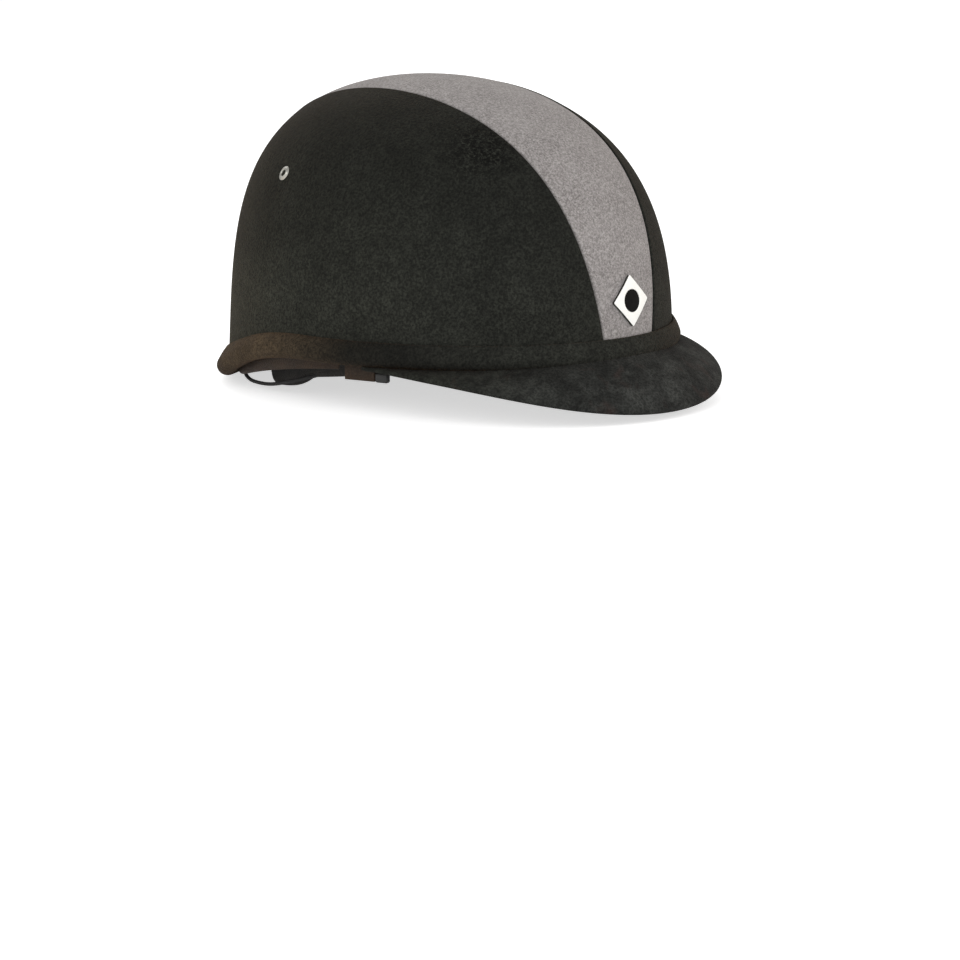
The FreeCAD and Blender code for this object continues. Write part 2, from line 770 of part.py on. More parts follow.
def make_side_straps():
    """Front and rear legs of the wearer's right strap, and their divider."""
    half = webbing_width / 2
    top = divider_level + divider_height / 3
    legs = []
    for root, side in ((front_root_y, -1), (rear_root_y, 1)):
        middle = divider_y + side * (half + 1)
        leg = flat_strap(((root - half, hinge_z), (root + half, hinge_z), (middle + half, top),
                          (middle - half, top)), -hinge_x, webbing_thickness)
        fold = tube(Vector(-hinge_x, root - half, hinge_z), Vector(0, 1, 0),
                    webbing_thickness / 2, webbing_width)
        legs.append(leg.fuse(fold))
    outer_face = -hinge_x - webbing_thickness / 2 - loop_wall * 0.75
    inner_face = chin_x - webbing_thickness / 2 - clearance
    plate = box((outer_face, divider_y - divider_width / 2, divider_level),
                (inner_face, divider_y + divider_width / 2, divider_level + divider_height))
    upright = [edge for edge in plate.Edges
               if abs(edge.Vertexes[0].Point.x - edge.Vertexes[-1].Point.x) > 0.1]
    plate = plate.makeFillet(divider_height / 4, upright)
    for side in (-1, 1):
        near = divider_y + side * (half + clearance + 0.2)
        cheek = box((-hinge_x - divider_bar_radius, min(near, near + side * loop_wall * 1.5),
                     divider_level + divider_height - 1),
                    (-hinge_x + divider_bar_radius, max(near, near + side * loop_wall * 1.5),
                     bar_level + divider_bar_radius))
        plate = plate.fuse(cheek)
    bar = tube(Vector(-hinge_x, divider_y - half - 1, bar_level), Vector(0, 1, 0),
               divider_bar_radius, webbing_width + 2)
    plate = plate.fuse(bar)
    for leg in legs:
        plate = plate.cut(leg)
    return legs[0], legs[1], plate


def make_chin_webbing(low_end):
    """Webbing looped round the divider's bar and hanging inside the side straps."""
    half = webbing_width / 2
    inner = divider_bar_radius + clearance / 2
    loop = tube(Vector(-hinge_x, divider_y - half, bar_level), Vector(0, 1, 0),
                inner + webbing_thickness, webbing_width, inner)
    tail = box((chin_x - webbing_thickness / 2, divider_y - half, low_end),
               (chin_x + webbing_thickness / 2, divider_y + half, bar_level))
    return loop.fuse(tail)


def make_socket():
    """Female half of the buckle, mouth down."""
    low = buckle_top - socket_length
    body = box((buckle_x - buckle_half_thickness, divider_y - buckle_half_width, low),
               (buckle_x + buckle_half_thickness, divider_y + buckle_half_width, buckle_top))
    body = body.makeFillet(loop_wall * 0.9, body.Edges)
    inside_x = buckle_half_thickness - socket_wall
    inside_y = buckle_half_width - socket_wall
    body = body.cut(box((buckle_x - inside_x, divider_y - inside_y, low - 1),
                        (buckle_x + inside_x, divider_y + inside_y, low + socket_length * 0.7)))
    body = body.cut(box((buckle_x - inside_x, divider_y - far / 4, low + socket_length * 0.2),
                        (buckle_x + inside_x, divider_y + far / 4, low + socket_length * 0.55)))
    return body


def make_clip():
    """Male half of the buckle, on the wearer's right before it is mirrored: base and prongs."""
    low = buckle_top - clip_base_length
    body = box((buckle_x - buckle_half_thickness, divider_y - buckle_half_width, low),
               (buckle_x + buckle_half_thickness, divider_y + buckle_half_width, buckle_top))
    body = body.makeFillet(loop_wall * 0.9, body.Edges)
    thick = buckle_half_thickness - socket_wall - clearance
    guide = prong_width * 0.7
    tongue = box((buckle_x - thick, divider_y - guide, low - clip_tongue_length),
                 (buckle_x + thick, divider_y + guide, low + 1))
    body = body.fuse(tongue)
    prongs = []
    for side in (-1, 1):
        outer = buckle_half_width - socket_wall - clearance
        barb = outer + socket_wall
        corners = ((outer - prong_width, low - clearance), (outer, low - clearance),
                   (outer, low - prong_length * 0.35), (barb, low - prong_length * 0.45),
                   (outer - 1.0, low - prong_length), (outer - prong_width, low - prong_length))
        corners = [(divider_y + side * y, z) for y, z in corners]
        prongs.append(flat_strap(corners, buckle_x, 2 * thick))
    return body, prongs


def make_slider():
    """Adjusting slide: a flat ring round the webbing, between divider and buckle."""
    half = webbing_width / 2 + clearance
    thick = webbing_thickness / 2 + clearance
    low, high = slider_level, slider_level + slider_length
    body = box((chin_x - thick - slider_wall, divider_y - half - loop_wall, low),
               (chin_x + thick + loop_wall, divider_y + half + loop_wall, high))
    upright = [edge for edge in body.Edges
               if abs(edge.Vertexes[0].Point.x - edge.Vertexes[-1].Point.x) > 0.1]
    body = body.makeFillet(loop_wall, upright)
    return body.cut(box((chin_x - thick, divider_y - half, low - 1),
                        (chin_x + thick, divider_y + half, high + 1)))


# ---- nape harness -------------------------------------------------------------------------
wing_inset = inset_slot + 0.1


def wing_edge(y):
    return wing_low - wing_slope * y


def make_wing(lace):
    """Leather strap round the back inside of the rim, on the wearer's right."""
    ring = lining(wing_inset, wing_thickness).common(sector(wing_start, wing_end, wing_inset))
    side = [Vector(-far, y, wing_edge(y) + up) for y, up in
            ((-far, 0), (far, 0), (far, wing_height), (-far, wing_height))]
    slab = Part.Face(Part.makePolygon(side + side[:1])).extrude(Vector(2 * far, 0, 0))
    wing = ring.common(slab)
    half = webbing_width / 2 + pocket_clearance
    drop = webbing_thickness / 2 + pocket_clearance
    wing = wing.cut(box((-far, rear_root_y - 1.5 * half, hinge_z - drop),
                        (0, rear_root_y + half, hinge_z + drop)))
    for spot, normal in lace_holes():
        wing = wing.cut(tube(spot + normal * 5, normal * -1, lace_eyelet_radius * 0.7, 10))
    return wing.cut(lace)


def lace_holes():
    """Middle of each lace hole on the wing's inner face, and the wall's outward normal."""
    face = wing_inset + wing_thickness
    turn = math.radians(wall_turn(lace_hole_angle, face))
    normal = Vector(math.cos(turn), math.sin(turn), 0)
    low = wing_edge(wall_point(lace_hole_angle, face, 0).y)
    pitch = wing_height / (lace_rungs + 0.5)
    return [(wall_point(lace_hole_angle, face, low + pitch * (i + 0.75)), normal)
            for i in range(lace_rungs)]


def make_lace_eyelets():
    rings = []
    hole = lace_radius + 0.1
    for spot, normal in lace_holes():
        flange = tube(spot, normal * -1, lace_eyelet_radius, eyelet_wall, hole)
        barrel = tube(spot, normal, lace_eyelet_radius * 0.7, wing_thickness, hole)
        ring = flange.fuse(barrel)
        rings += [ring, mirrored(ring)]
    return rings


def make_lacing():
    """Lace drawn across the nape from hole to hole, with its ends through the eyelets."""
    out = eyelet_wall + lace_radius + 0.1
    right = [spot - normal * out for spot, normal in lace_holes()]
    left = [Vector(-spot.x, spot.y, spot.z) for spot in right]
    runs = [(right[0], left[0])]
    for i in range(lace_rungs - 1):
        runs += [(right[i], left[i + 1]), (left[i], right[i + 1])]
    lacing = None
    for start, end in runs:
        piece = tube(start, end - start, lace_radius, (end - start).Length)
        lacing = piece if lacing is None else lacing.fuse(piece)
    for spot, (hole, normal) in zip(right, lace_holes()):
        stub = tube(spot, normal, lace_radius, out + wing_thickness * 0.9)
        knuckle = Part.makeSphere(lace_radius, spot)
        lacing = lacing.fuse([stub, mirrored(stub), knuckle, mirrored(knuckle)])
    return lacing


# route of the loose lace: theta, inset and height of each point, from the liner to the wing
LACE_ROUTE = ((140.5, 7.0, -12.5), (140.0, 8.2, -19.4), (136.2, 10.6, -23.0),
              (128.6, 13.4, -22.7), (120.6, 16.4, -21.4), (113.0, 19.6, -20.6),
              (106.0, 22.6, -17.4), (100.6, 24.2, -12.0))


def rounded_tube(points, radius):
    """Round tube along straight runs joined by tangent arcs."""
    edges = []
    radii = []
    at = points[0]
    for before, corner, after in zip(points, points[1:], points[2:]):
        back, ahead = before - corner, after - corner
        turn = math.pi - back.getAngle(ahead)
        setback = 0.45 * min(back.Length, ahead.Length)
        back.normalize()
        ahead.normalize()
        start, end = corner + back * setback, corner + ahead * setback
        arc_radius = setback / math.tan(turn / 2)
        radii.append(round(arc_radius, 1))
        bisector = back + ahead
        bisector.normalize()
        centre = corner + bisector * (arc_radius / math.cos(turn / 2))
        middle = centre - bisector * arc_radius
        edges.append(Part.LineSegment(at, start).toShape())
        edges.append(Part.Arc(start, middle, end).toShape())
        at = end
    edges.append(Part.LineSegment(at, points[-1]).toShape())
    path = Part.Wire(edges)
    ring = Part.Circle(points[0], points[1] - points[0], radius).toShape()
    solid = path.makePipeShell([Part.Wire(ring)], True, False)
    print("lace", round(path.Length, 1), "mm long, radii", radii, "volume share",
          round(solid.Volume / (math.pi * radius ** 2 * path.Length), 4))
    return solid


# ---- build and write ----------------------------------------------------------------------
def write(name, shape):
    if isinstance(shape, list):
        shape = Part.makeCompound(shape)
    print(name, len(shape.Solids), "solids,", round(shape.Volume), "mm3, valid", shape.isValid())
    shape.exportStep("parts/" + name + ".step")


def write_pair(name, shape):
    write(name + "_right", shape)
    write(name + "_left", mirrored(shape))


def build():
    lace = rounded_tube([wall_point(*spot) for spot in LACE_ROUTE], lace_radius)
    badge_plate, badge_inlay, badge_pins = make_badge()
    through = vent_cutters()[0]
    shell, liner, rivets, washers = make_shell_and_liner(lace, badge_pins)
    side_right, side_left, centre = make_covers()
    peak_core, peak_top, peak_under = make_peak(band_ring("whole"))
    eyelet, washer = make_eyelet()
    write("outer_shell", shell)
    write("impact_liner", liner)
    write("side_cover_right", side_right.cut(through))
    write("side_cover_left", side_left.cut(mirrored(through)))
    write("centre_panel", centre.cut(badge_pins))
    write("rim_band", band_ring("skin"))
    write("rim_bead", band_ring("bead"))
    write_pair("rim_strip", make_rim_strip())
    write("peak_core", peak_core)
    write("peak_top_cover", peak_top)
    write("peak_under_cover", peak_under)
    write_pair("vent_eyelet", eyelet)
    write_pair("vent_washer", washer)
    write("badge_plate", badge_plate)
    write("badge_inlay", badge_inlay)
    write("badge_pins", badge_pins)
    write("strap_rivets", rivets)
    write("strap_rivet_washers", washers)
    write("front_pad", make_pad(-front_pad_end, front_pad_end, front_pad_lift, front_pad_top))
    write("rear_pad", make_pad(rear_pad_start, 360 - rear_pad_start, rear_pad_lift, rear_pad_top))
    write("front_pad_patches", make_patches(patch_angles_front, front_pad_top / 4))
    write("rear_pad_patches", make_patches(patch_angles_rear, rear_pad_top - patch_height - 2))
    crown, crown_patches = make_crown()
    write("crown_pad", crown)
    write("crown_pad_patches", crown_patches)
    front_anchor = make_anchor(front_root_y)
    tab, tab_end = make_front_tab(front_anchor)
    write_pair("front_anchor", front_anchor)
    write_pair("front_tab", tab)
    write_pair("front_tab_end", tab_end)
    write_pair("rear_anchor", make_anchor(rear_root_y))
    front_strap, rear_strap, divider = make_side_straps()
    write_pair("front_strap", front_strap)
    write_pair("rear_strap", rear_strap)
    write_pair("strap_divider", divider)
    socket, (clip, prongs) = make_socket(), make_clip()
    webbing = make_chin_webbing(buckle_top - webbing_tuck)
    write("chin_strap_right", webbing)
    write("buckle_socket", socket.cut(webbing))
    write("chin_strap_left", mirrored(webbing))
    write("buckle_clip", mirrored(clip.cut(webbing)))
    write("buckle_prong_front", mirrored(prongs[0]))
    write("buckle_prong_rear", mirrored(prongs[1]))
    write("strap_slider", mirrored(make_slider()))
    write_pair("nape_wing", make_wing(lace))
    write("nape_lace_eyelets", make_lace_eyelets())
    write("nape_lacing", make_lacing())
    write("nape_lace", lace)


build()
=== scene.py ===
"""Looks of the riding helmet, in metres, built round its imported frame.

+Z is up, the peak points to -Y and the wearer's right is -X, as in the frame.
"""
import math

import bmesh
import bpy
import numpy as np
from mathutils import Matrix, Vector
from mathutils import noise as pattern


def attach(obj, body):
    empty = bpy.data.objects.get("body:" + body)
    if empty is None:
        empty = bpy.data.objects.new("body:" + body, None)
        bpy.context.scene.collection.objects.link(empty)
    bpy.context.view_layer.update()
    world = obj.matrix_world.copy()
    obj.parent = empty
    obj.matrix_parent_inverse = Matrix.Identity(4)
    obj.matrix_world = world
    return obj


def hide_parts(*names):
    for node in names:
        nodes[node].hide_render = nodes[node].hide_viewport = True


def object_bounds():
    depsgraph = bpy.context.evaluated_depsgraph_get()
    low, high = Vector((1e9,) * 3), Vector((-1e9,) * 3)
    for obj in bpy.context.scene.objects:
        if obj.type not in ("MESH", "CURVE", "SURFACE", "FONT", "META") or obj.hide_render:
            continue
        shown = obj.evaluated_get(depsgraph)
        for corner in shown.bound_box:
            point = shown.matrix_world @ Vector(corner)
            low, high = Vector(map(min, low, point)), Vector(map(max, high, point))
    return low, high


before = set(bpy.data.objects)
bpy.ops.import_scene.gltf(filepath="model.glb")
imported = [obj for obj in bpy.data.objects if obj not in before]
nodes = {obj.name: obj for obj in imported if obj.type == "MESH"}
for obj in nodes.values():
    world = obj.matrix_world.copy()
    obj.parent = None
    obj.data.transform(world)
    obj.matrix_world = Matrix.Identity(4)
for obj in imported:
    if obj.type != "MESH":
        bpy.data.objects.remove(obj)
cad_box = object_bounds()
MM = 0.001

# ---- sizes, in millimetres, as in the part's source -----------------------------------------
HALF_LENGTH, HALF_WIDTH, DOME_HEIGHT = 128.0, 108.0, 142.0
# control points of the dome's side line: share of the level ellipse's half axes, share of the
# height, and the ellipse's shift to the rear as a share of the half length
MERIDIAN = np.array(((1.0, 0.0, 0.0), (0.994, 0.557, -0.0268), (0.894, 0.985, 0.0691),
                     (0.147, 1.0, 0.1023), (0.0, 1.0, 0.1023)))
# lines along the rim: level, start of the dip, its slope's start and end, its end, its angle
RIM = (1.0, 5.0, 60.0, 92.0, 128.0, 19.5)
BAND = (14.2, 8.0, 55.0, 98.0, 130.0, 16.2)
STRIP = (-1.75, -45.0, 62.0, 80.0, 120.0, 13.5)
COVER, SHELL, LINER, HARNESS_SLOT = 1.2, 3.0, 19.0, 2.3
SHELL_EDGE_LIFT, LINER_EDGE_LIFT = 4.5, 3.5
PANEL_HALF_WIDTH, PANEL_WIDENING_UP, PANEL_WIDENING_FORWARD = 12.8, 0.1694, 0.0375
BEAD_RADIUS, BEAD_FRONT_RADIUS, BEAD_OUT, BAND_LIP, BAND_SKIN = 6.0, 4.9, 0.6, 1.0, 1.2
PEAK_HALF_WIDTH, PEAK_HALF_LENGTH, PEAK_ROOT_BACK = HALF_WIDTH + 0.2, 137.5, 21.4
PEAK_SIDE_LEVEL, PEAK_TIP_DROP, PEAK_SIDE_LIFT = 1.1, 23.2, 18.4
PEAK_SHOULDER, PEAK_SHOULDER_DIP, PEAK_CROWN = 0.131, 6.8, 3.5
PEAK_ROOT_SPREAD, PEAK_ROOT_INSET, PEAK_ROOT_LEVEL, PEAK_ROOT_LIFT = 0.87, 2.0, 1.7, 5.6
PEAK_ROOT_THICK, PEAK_EDGE_THICK, PEAK_COVER = 8.0, 3.4, 0.7
PEAK_END_TAPER, PEAK_TAPER_ANGLE, PEAK_END_ANGLE = 0.35, 35.0, 84.0
EYELET_BACK, EYELET_HEIGHT, EYELET_HOLE, EYELET_FLANGE = 39.5, 94.5, 1.8, 4.1
BADGE_HEIGHT, BADGE_HALF, BADGE_THICK, BADGE_BORDER = 32.5, 13.5, 1.6, 3.6
WEB_HALF, WEB_THICK = 8.0, 1.6
HINGE_X, HINGE_Z = 66.0, -4.4
FRONT_ROOT, REAR_ROOT, ANCHOR_TOP, ANCHOR_INSET = -27.0, 38.0, 34.0, 6.2
ROOTS = {"front": FRONT_ROOT, "rear": REAR_ROOT}
DIVIDER_Y, DIVIDER_TOP, BAR_LEVEL, BAR_LOOP = 5.0, 55.0, 65.4, 3.15
CHIN_LOW = 28.0
WING_INSET, WING_THICK, WING_LOW, WING_SLOPE, WING_HEIGHT = 23.3, 1.8, -10.5, 0.13, 16.0
HOLE_ANGLE, HOLE_RADIUS = 169.5, 1.68
TAB_HALF, TAB_LOW, TAB_HIGH, TAB_PROUD, TAB_DEPTH = 9.2, -7.7, 3.0, 0.4, 2.4
CROWN_HALF_WIDTH, CROWN_HALF_LENGTH = 36.0, 52.0
END = {-1: "right", 1: "left"}


# ---- the dome -------------------------------------------------------------------------------
def meridian_table():
    """Points of the dome's side line, a Bezier curve on its control points."""
    u = np.linspace(0, 1, 4001)
    v = 1 - u
    weights = np.stack([v ** 4, 4 * u * v ** 3, 6 * u ** 2 * v ** 2, 4 * u ** 3 * v, u ** 4])
    return weights.T @ MERIDIAN


MERIDIAN_TABLE = meridian_table()
WALL_LEAN = MERIDIAN[1, 2] * HALF_LENGTH / (MERIDIAN[1, 1] * DOME_HEIGHT)
CROWN_MIDDLE = MERIDIAN[-1, 2] * HALF_LENGTH


def level_shape(z, inset=0.0):
    """Share of the half axes and rearward shift of the level ellipse at height z."""
    rise = np.asarray(z, float) / (DOME_HEIGHT - inset)
    share = np.interp(rise, MERIDIAN_TABLE[:, 1], MERIDIAN_TABLE[:, 0])
    shift = np.interp(rise, MERIDIAN_TABLE[:, 1], MERIDIAN_TABLE[:, 2])
    below = np.minimum(rise, 0) / MERIDIAN[1, 1]
    share = share - (1 - MERIDIAN[1, 0]) * below
    shift = shift + MERIDIAN[1, 2] * below
    return np.maximum(share, 1e-9), shift * HALF_LENGTH


def outside(points, inset=0.0):
    """Positive outside the dome's layer, negative inside."""
    x, y, z = np.moveaxis(points, -1, 0)
    share, shift = level_shape(z, inset)
    a, b = (HALF_LENGTH - inset) * share, (HALF_WIDTH - inset) * share
    value = (x / b) ** 2 + ((y - shift) / a) ** 2 - 1
    return np.where(z >= DOME_HEIGHT - inset, 1.0, value)


def normal_at(points, inset=0.0):
    """Outward normals of the dome's layer."""
    step = 0.02
    grad = np.zeros_like(points)
    for axis in range(3):
        shift = np.zeros(3)
        shift[axis] = step
        grad[..., axis] = outside(points + shift, inset) - outside(points - shift, inset)
    top = points[..., 2] > DOME_HEIGHT - inset - 0.05
    grad[top] = (0, 0, 1)
    return grad / np.linalg.norm(grad, axis=-1, keepdims=True)


def along_rays(starts, direction):
    """Points where rays from inside the dome leave it, found by halving."""
    reach, halvings = 220.0, 44

    def spot(far):
        return starts + far[..., None] * np.asarray(direction, float)

    low = np.zeros(starts.shape[:-1])
    high = low + reach
    for _ in range(halvings):
        middle = (low + high) / 2
        out = outside(spot(middle)) > 0
        high = np.where(out, middle, high)
        low = np.where(out, low, middle)
    return spot((low + high) / 2)


def wall(theta, inset, height):
    """Points on the wall near the rim; theta runs from the front round by the right."""
    angle = np.radians(theta)
    height = np.asarray(height, float)
    spread = 1 - (1 - MERIDIAN[1, 0]) * height / (MERIDIAN[1, 1] * DOME_HEIGHT)
    return np.stack([-(HALF_WIDTH - inset) * spread * np.sin(angle),
                     -(HALF_LENGTH - inset) * spread * np.cos(angle) + WALL_LEAN * height,
                     height + 0 * angle], -1)


def wall_normal(theta, inset=0.0):
    """Level outward normal of the wall at theta."""
    angle = np.radians(theta)
    normal = np.stack([-np.sin(angle) / (HALF_WIDTH - inset),
                       -np.cos(angle) / (HALF_LENGTH - inset), 0 * angle], -1)
    return normal / np.linalg.norm(normal, axis=-1, keepdims=True)


def twin(points, side):
    """Points made for the wearer's right, mirrored for side 1."""
    return np.asarray(points, float) * (-side, 1, 1)


def line_height(line, y):
    """Height of a rim line at plan position y: level, arc, slope, arc, level."""
    level, start, slope_from, slope_to, end, angle = line
    y = np.asarray(y, float)
    turn = math.radians(angle)

    def arc(run, reach):
        radius = reach / math.sin(turn)
        return radius - np.sqrt(radius ** 2 - run ** 2)

    first, last = slope_from - start, end - slope_to
    drop = arc(np.clip(y - start, 0, first), first)
    drop = drop + np.clip(y - slope_from, 0, slope_to - slope_from) * math.tan(turn)
    drop = drop + arc(last, last) - arc(last - np.clip(y - slope_to, 0, last), last)
    return level - drop


# ---- meshes from grids of points --------------------------------------------------------------
def new_piece(name, points, faces, material, strip=None):
    """A mesh object at the origin, from points in millimetres; strip gives its own UV places."""
    mesh = bpy.data.meshes.new(name)
    mesh.from_pydata([tuple(p) for p in np.asarray(points, float) * MM], [], faces)
    mesh.validate()
    if strip is not None:
        layer = mesh.uv_layers.new(name="strip")
        for loop in mesh.loops:
            layer.data[loop.index].uv = strip[loop.vertex_index]
    work = bmesh.new()
    work.from_mesh(mesh)
    bmesh.ops.remove_doubles(work, verts=work.verts, dist=1e-7)
    bmesh.ops.recalc_face_normals(work, faces=work.faces)
    for face in work.faces:
        face.smooth = True
    work.to_mesh(mesh)
    work.free()
    mesh.materials.append(material)
    return placed(name, mesh)


def placed(name, data):
    """An object with this data, at the scene's origin."""
    piece = bpy.data.objects.new(name, data)
    bpy.context.scene.collection.objects.link(piece)
    return piece


def grid_faces(rows, columns, start=0, wrap_rows=False, wrap_columns=False, flip=False):
    """Four-sided faces between rows of points that are numbered from start."""
    faces = []
    for i in range(rows if wrap_rows else rows - 1):
        for j in range(columns if wrap_columns else columns - 1):
            a, b = i * columns + j, i * columns + (j + 1) % columns
            c, d = (i + 1) % rows * columns + (j + 1) % columns, (i + 1) % rows * columns + j
            quad = (start + a, start + b, start + c, start + d)
            faces.append(quad[::-1] if flip else quad)
    return faces


def tube_faces(rows, columns, start=0):
    """Faces of a tube of closed sections, with a flat face over each end."""
    faces = grid_faces(rows, columns, start, wrap_columns=True)
    faces.append([start + j for j in range(columns)][::-1])
    faces.append([start + (rows - 1) * columns + j for j in range(columns)])
    return faces


def tube(sections):
    """Points and faces of a tube of closed sections, with a flat face over each end."""
    sections = np.array(sections)
    return sections.reshape(-1, 3), tube_faces(*sections.shape[:2])


def slab(outer, inner):
    """Points and faces of a closed sheet between two grids of the same size."""
    rows, columns = outer.shape[:2]
    size = rows * columns
    points = np.concatenate([outer.reshape(-1, 3), inner.reshape(-1, 3)])
    faces = grid_faces(rows, columns) + grid_faces(rows, columns, size, flip=True)
    rim = list(range(columns))
    rim += [i * columns + columns - 1 for i in range(1, rows)]
    rim += [(rows - 1) * columns + j for j in range(columns - 2, -1, -1)]
    rim += [i * columns for i in range(rows - 2, 0, -1)]
    for a, b in zip(rim, rim[1:] + rim[:1]):
        faces.append((b, a, a + size, b + size))
    return points, faces


def ring(sections):
    """Points and faces of a tube whose closed sections run all the way round."""
    sections = np.array(sections)
    rows, columns = sections.shape[:2]
    return sections.reshape(-1, 3), grid_faces(rows, columns, wrap_rows=True, wrap_columns=True)


def turned(profile, centre, axis, steps):
    """Closed body of revolution; the profile holds (radius, height along the axis) pairs."""
    axis = Vector(axis).normalized()
    side = axis.orthogonal().normalized()
    other = axis.cross(side)
    sections = []
    for i in range(steps):
        angle = 2 * math.pi * i / steps
        out = side * math.cos(angle) + other * math.sin(angle)
        sections.append([Vector(centre) + out * r + axis * h for r, h in profile])
    return ring(sections)


def wander(points, size, amount, seed):
    """Smooth uneven offsets, one number for each point, features size mm long."""
    flat = np.asarray(points, float).reshape(-1, 3)
    values = [pattern.noise(Vector(p) / size + Vector((seed, 3.1 * seed, 7.7))) for p in flat]
    return amount * np.array(values).reshape(np.asarray(points).shape[:-1])


# ---- shader maths -----------------------------------------------------------------------------
class Socket:
    """A shader value; operators add the Math nodes that work it out."""

    def __init__(self, paint, socket):
        self.paint, self.socket = paint, socket

    def _math(self, operation, *values):
        return self.paint.node("ShaderNodeMath", {"operation": operation},
                               dict(enumerate(values)))["Value"]

    def __add__(self, other):
        return self._math("ADD", self, other)

    def __sub__(self, other):
        return self._math("SUBTRACT", self, other)

    def __rsub__(self, other):
        return self._math("SUBTRACT", other, self)

    def __mul__(self, other):
        return self._math("MULTIPLY", self, other)

    __radd__, __rmul__ = __add__, __mul__

    def clamp(self, low, high):
        """This value's place between low and high, from 0 to 1."""
        return self.paint.node("ShaderNodeMapRange", {"clamp": True},
                               {"Value": self, "From Min": low, "From Max": high})["Result"]

    def sine(self):
        return self._math("SINE", self)

    def absolute(self):
        return self._math("ABSOLUTE", self)


class Outputs:
    """The output sockets of one shader node, by name or number."""

    def __init__(self, paint, made):
        self.paint, self.made = paint, made

    def __getitem__(self, key):
        return Socket(self.paint, self.made.outputs[key])


class Paint:
    """One material's node tree; its constants are the shader's sockets, with _ for a space."""

    def __init__(self, name, **constants):
        self.material = bpy.data.materials.new(name)
        self.material.use_nodes = True
        self.tree = self.material.node_tree
        self.shader = self.tree.nodes["Principled BSDF"]
        for socket, value in constants.items():
            self.shader.inputs[socket.replace("_", " ")].default_value = value
        self.spot = self.node("ShaderNodeTexCoord")["Object"]

    def node(self, kind, settings=None, sockets=None):
        """A new node: its settings first, then a value or a link for each socket."""
        made = self.tree.nodes.new(kind)
        for key, value in (settings or {}).items():
            setattr(made, key, value)
        for key, value in (sockets or {}).items():
            if isinstance(value, Socket):
                self.tree.links.new(value.socket, made.inputs[key])
            else:
                made.inputs[key].default_value = value
        return Outputs(self, made)

    def set(self, name, value):
        """Link a value to one of the shader's sockets."""
        self.tree.links.new(value.socket, self.shader.inputs[name])

    def split(self, vector=None):
        """X, Y and Z of a vector, or of the place in space."""
        return self.node("ShaderNodeSeparateXYZ", {}, {"Vector": vector or self.spot})

    def strip_place(self):
        """Place across and place along a strap or lace, from its own UV map."""
        place = self.split(self.node("ShaderNodeUVMap", {"uv_map": "strip"})["UV"])
        return place["X"], place["Y"]

    def noise(self, scale, detail=2.0, roughness=0.5, distortion=0.0):
        """Cloudy value on the place in space, from 0 to 1."""
        return self.node("ShaderNodeTexNoise", {}, {
            "Vector": self.spot, "Scale": scale, "Detail": detail, "Roughness": roughness,
            "Distortion": distortion})["Fac"]

    def cells(self, scale, feature="F1"):
        """Distance in a pattern of cells: from their middles, or as feature says."""
        return self.node("ShaderNodeTexVoronoi", {"feature": feature},
                         {"Vector": self.spot, "Scale": scale})["Distance"]

    def mix(self, share, first, second):
        """A colour between two colours; a Mix node's colours are its sockets 6 and 7, then 2."""
        return self.node("ShaderNodeMix", {"data_type": "RGBA"},
                         {0: share, 6: first, 7: second})[2]

    def times(self, tone, share):
        """A colour made darker or lighter by a share of itself."""
        return self.node("ShaderNodeVectorMath", {"operation": "SCALE"},
                         {0: tone, "Scale": share})["Vector"]

    def bump(self, height, distance, strength):
        """Make the surface look uneven by a height of up to distance metres."""
        self.set("Normal", self.node("ShaderNodeBump", {}, {
            "Height": height, "Distance": distance, "Strength": strength})["Normal"])


def colour(red, green, blue):
    """Linear colour from sRGB values of 0 to 255."""
    def linear(value):
        share = value / 255
        return share / 12.92 if share <= 0.04045 else ((share + 0.055) / 1.055) ** 2.4
    return (linear(red), linear(green), linear(blue), 1.0)


def paler(tone, times):
    """A colour this many times as bright, white at most."""
    return tuple(min(1, part * times) for part in tone)


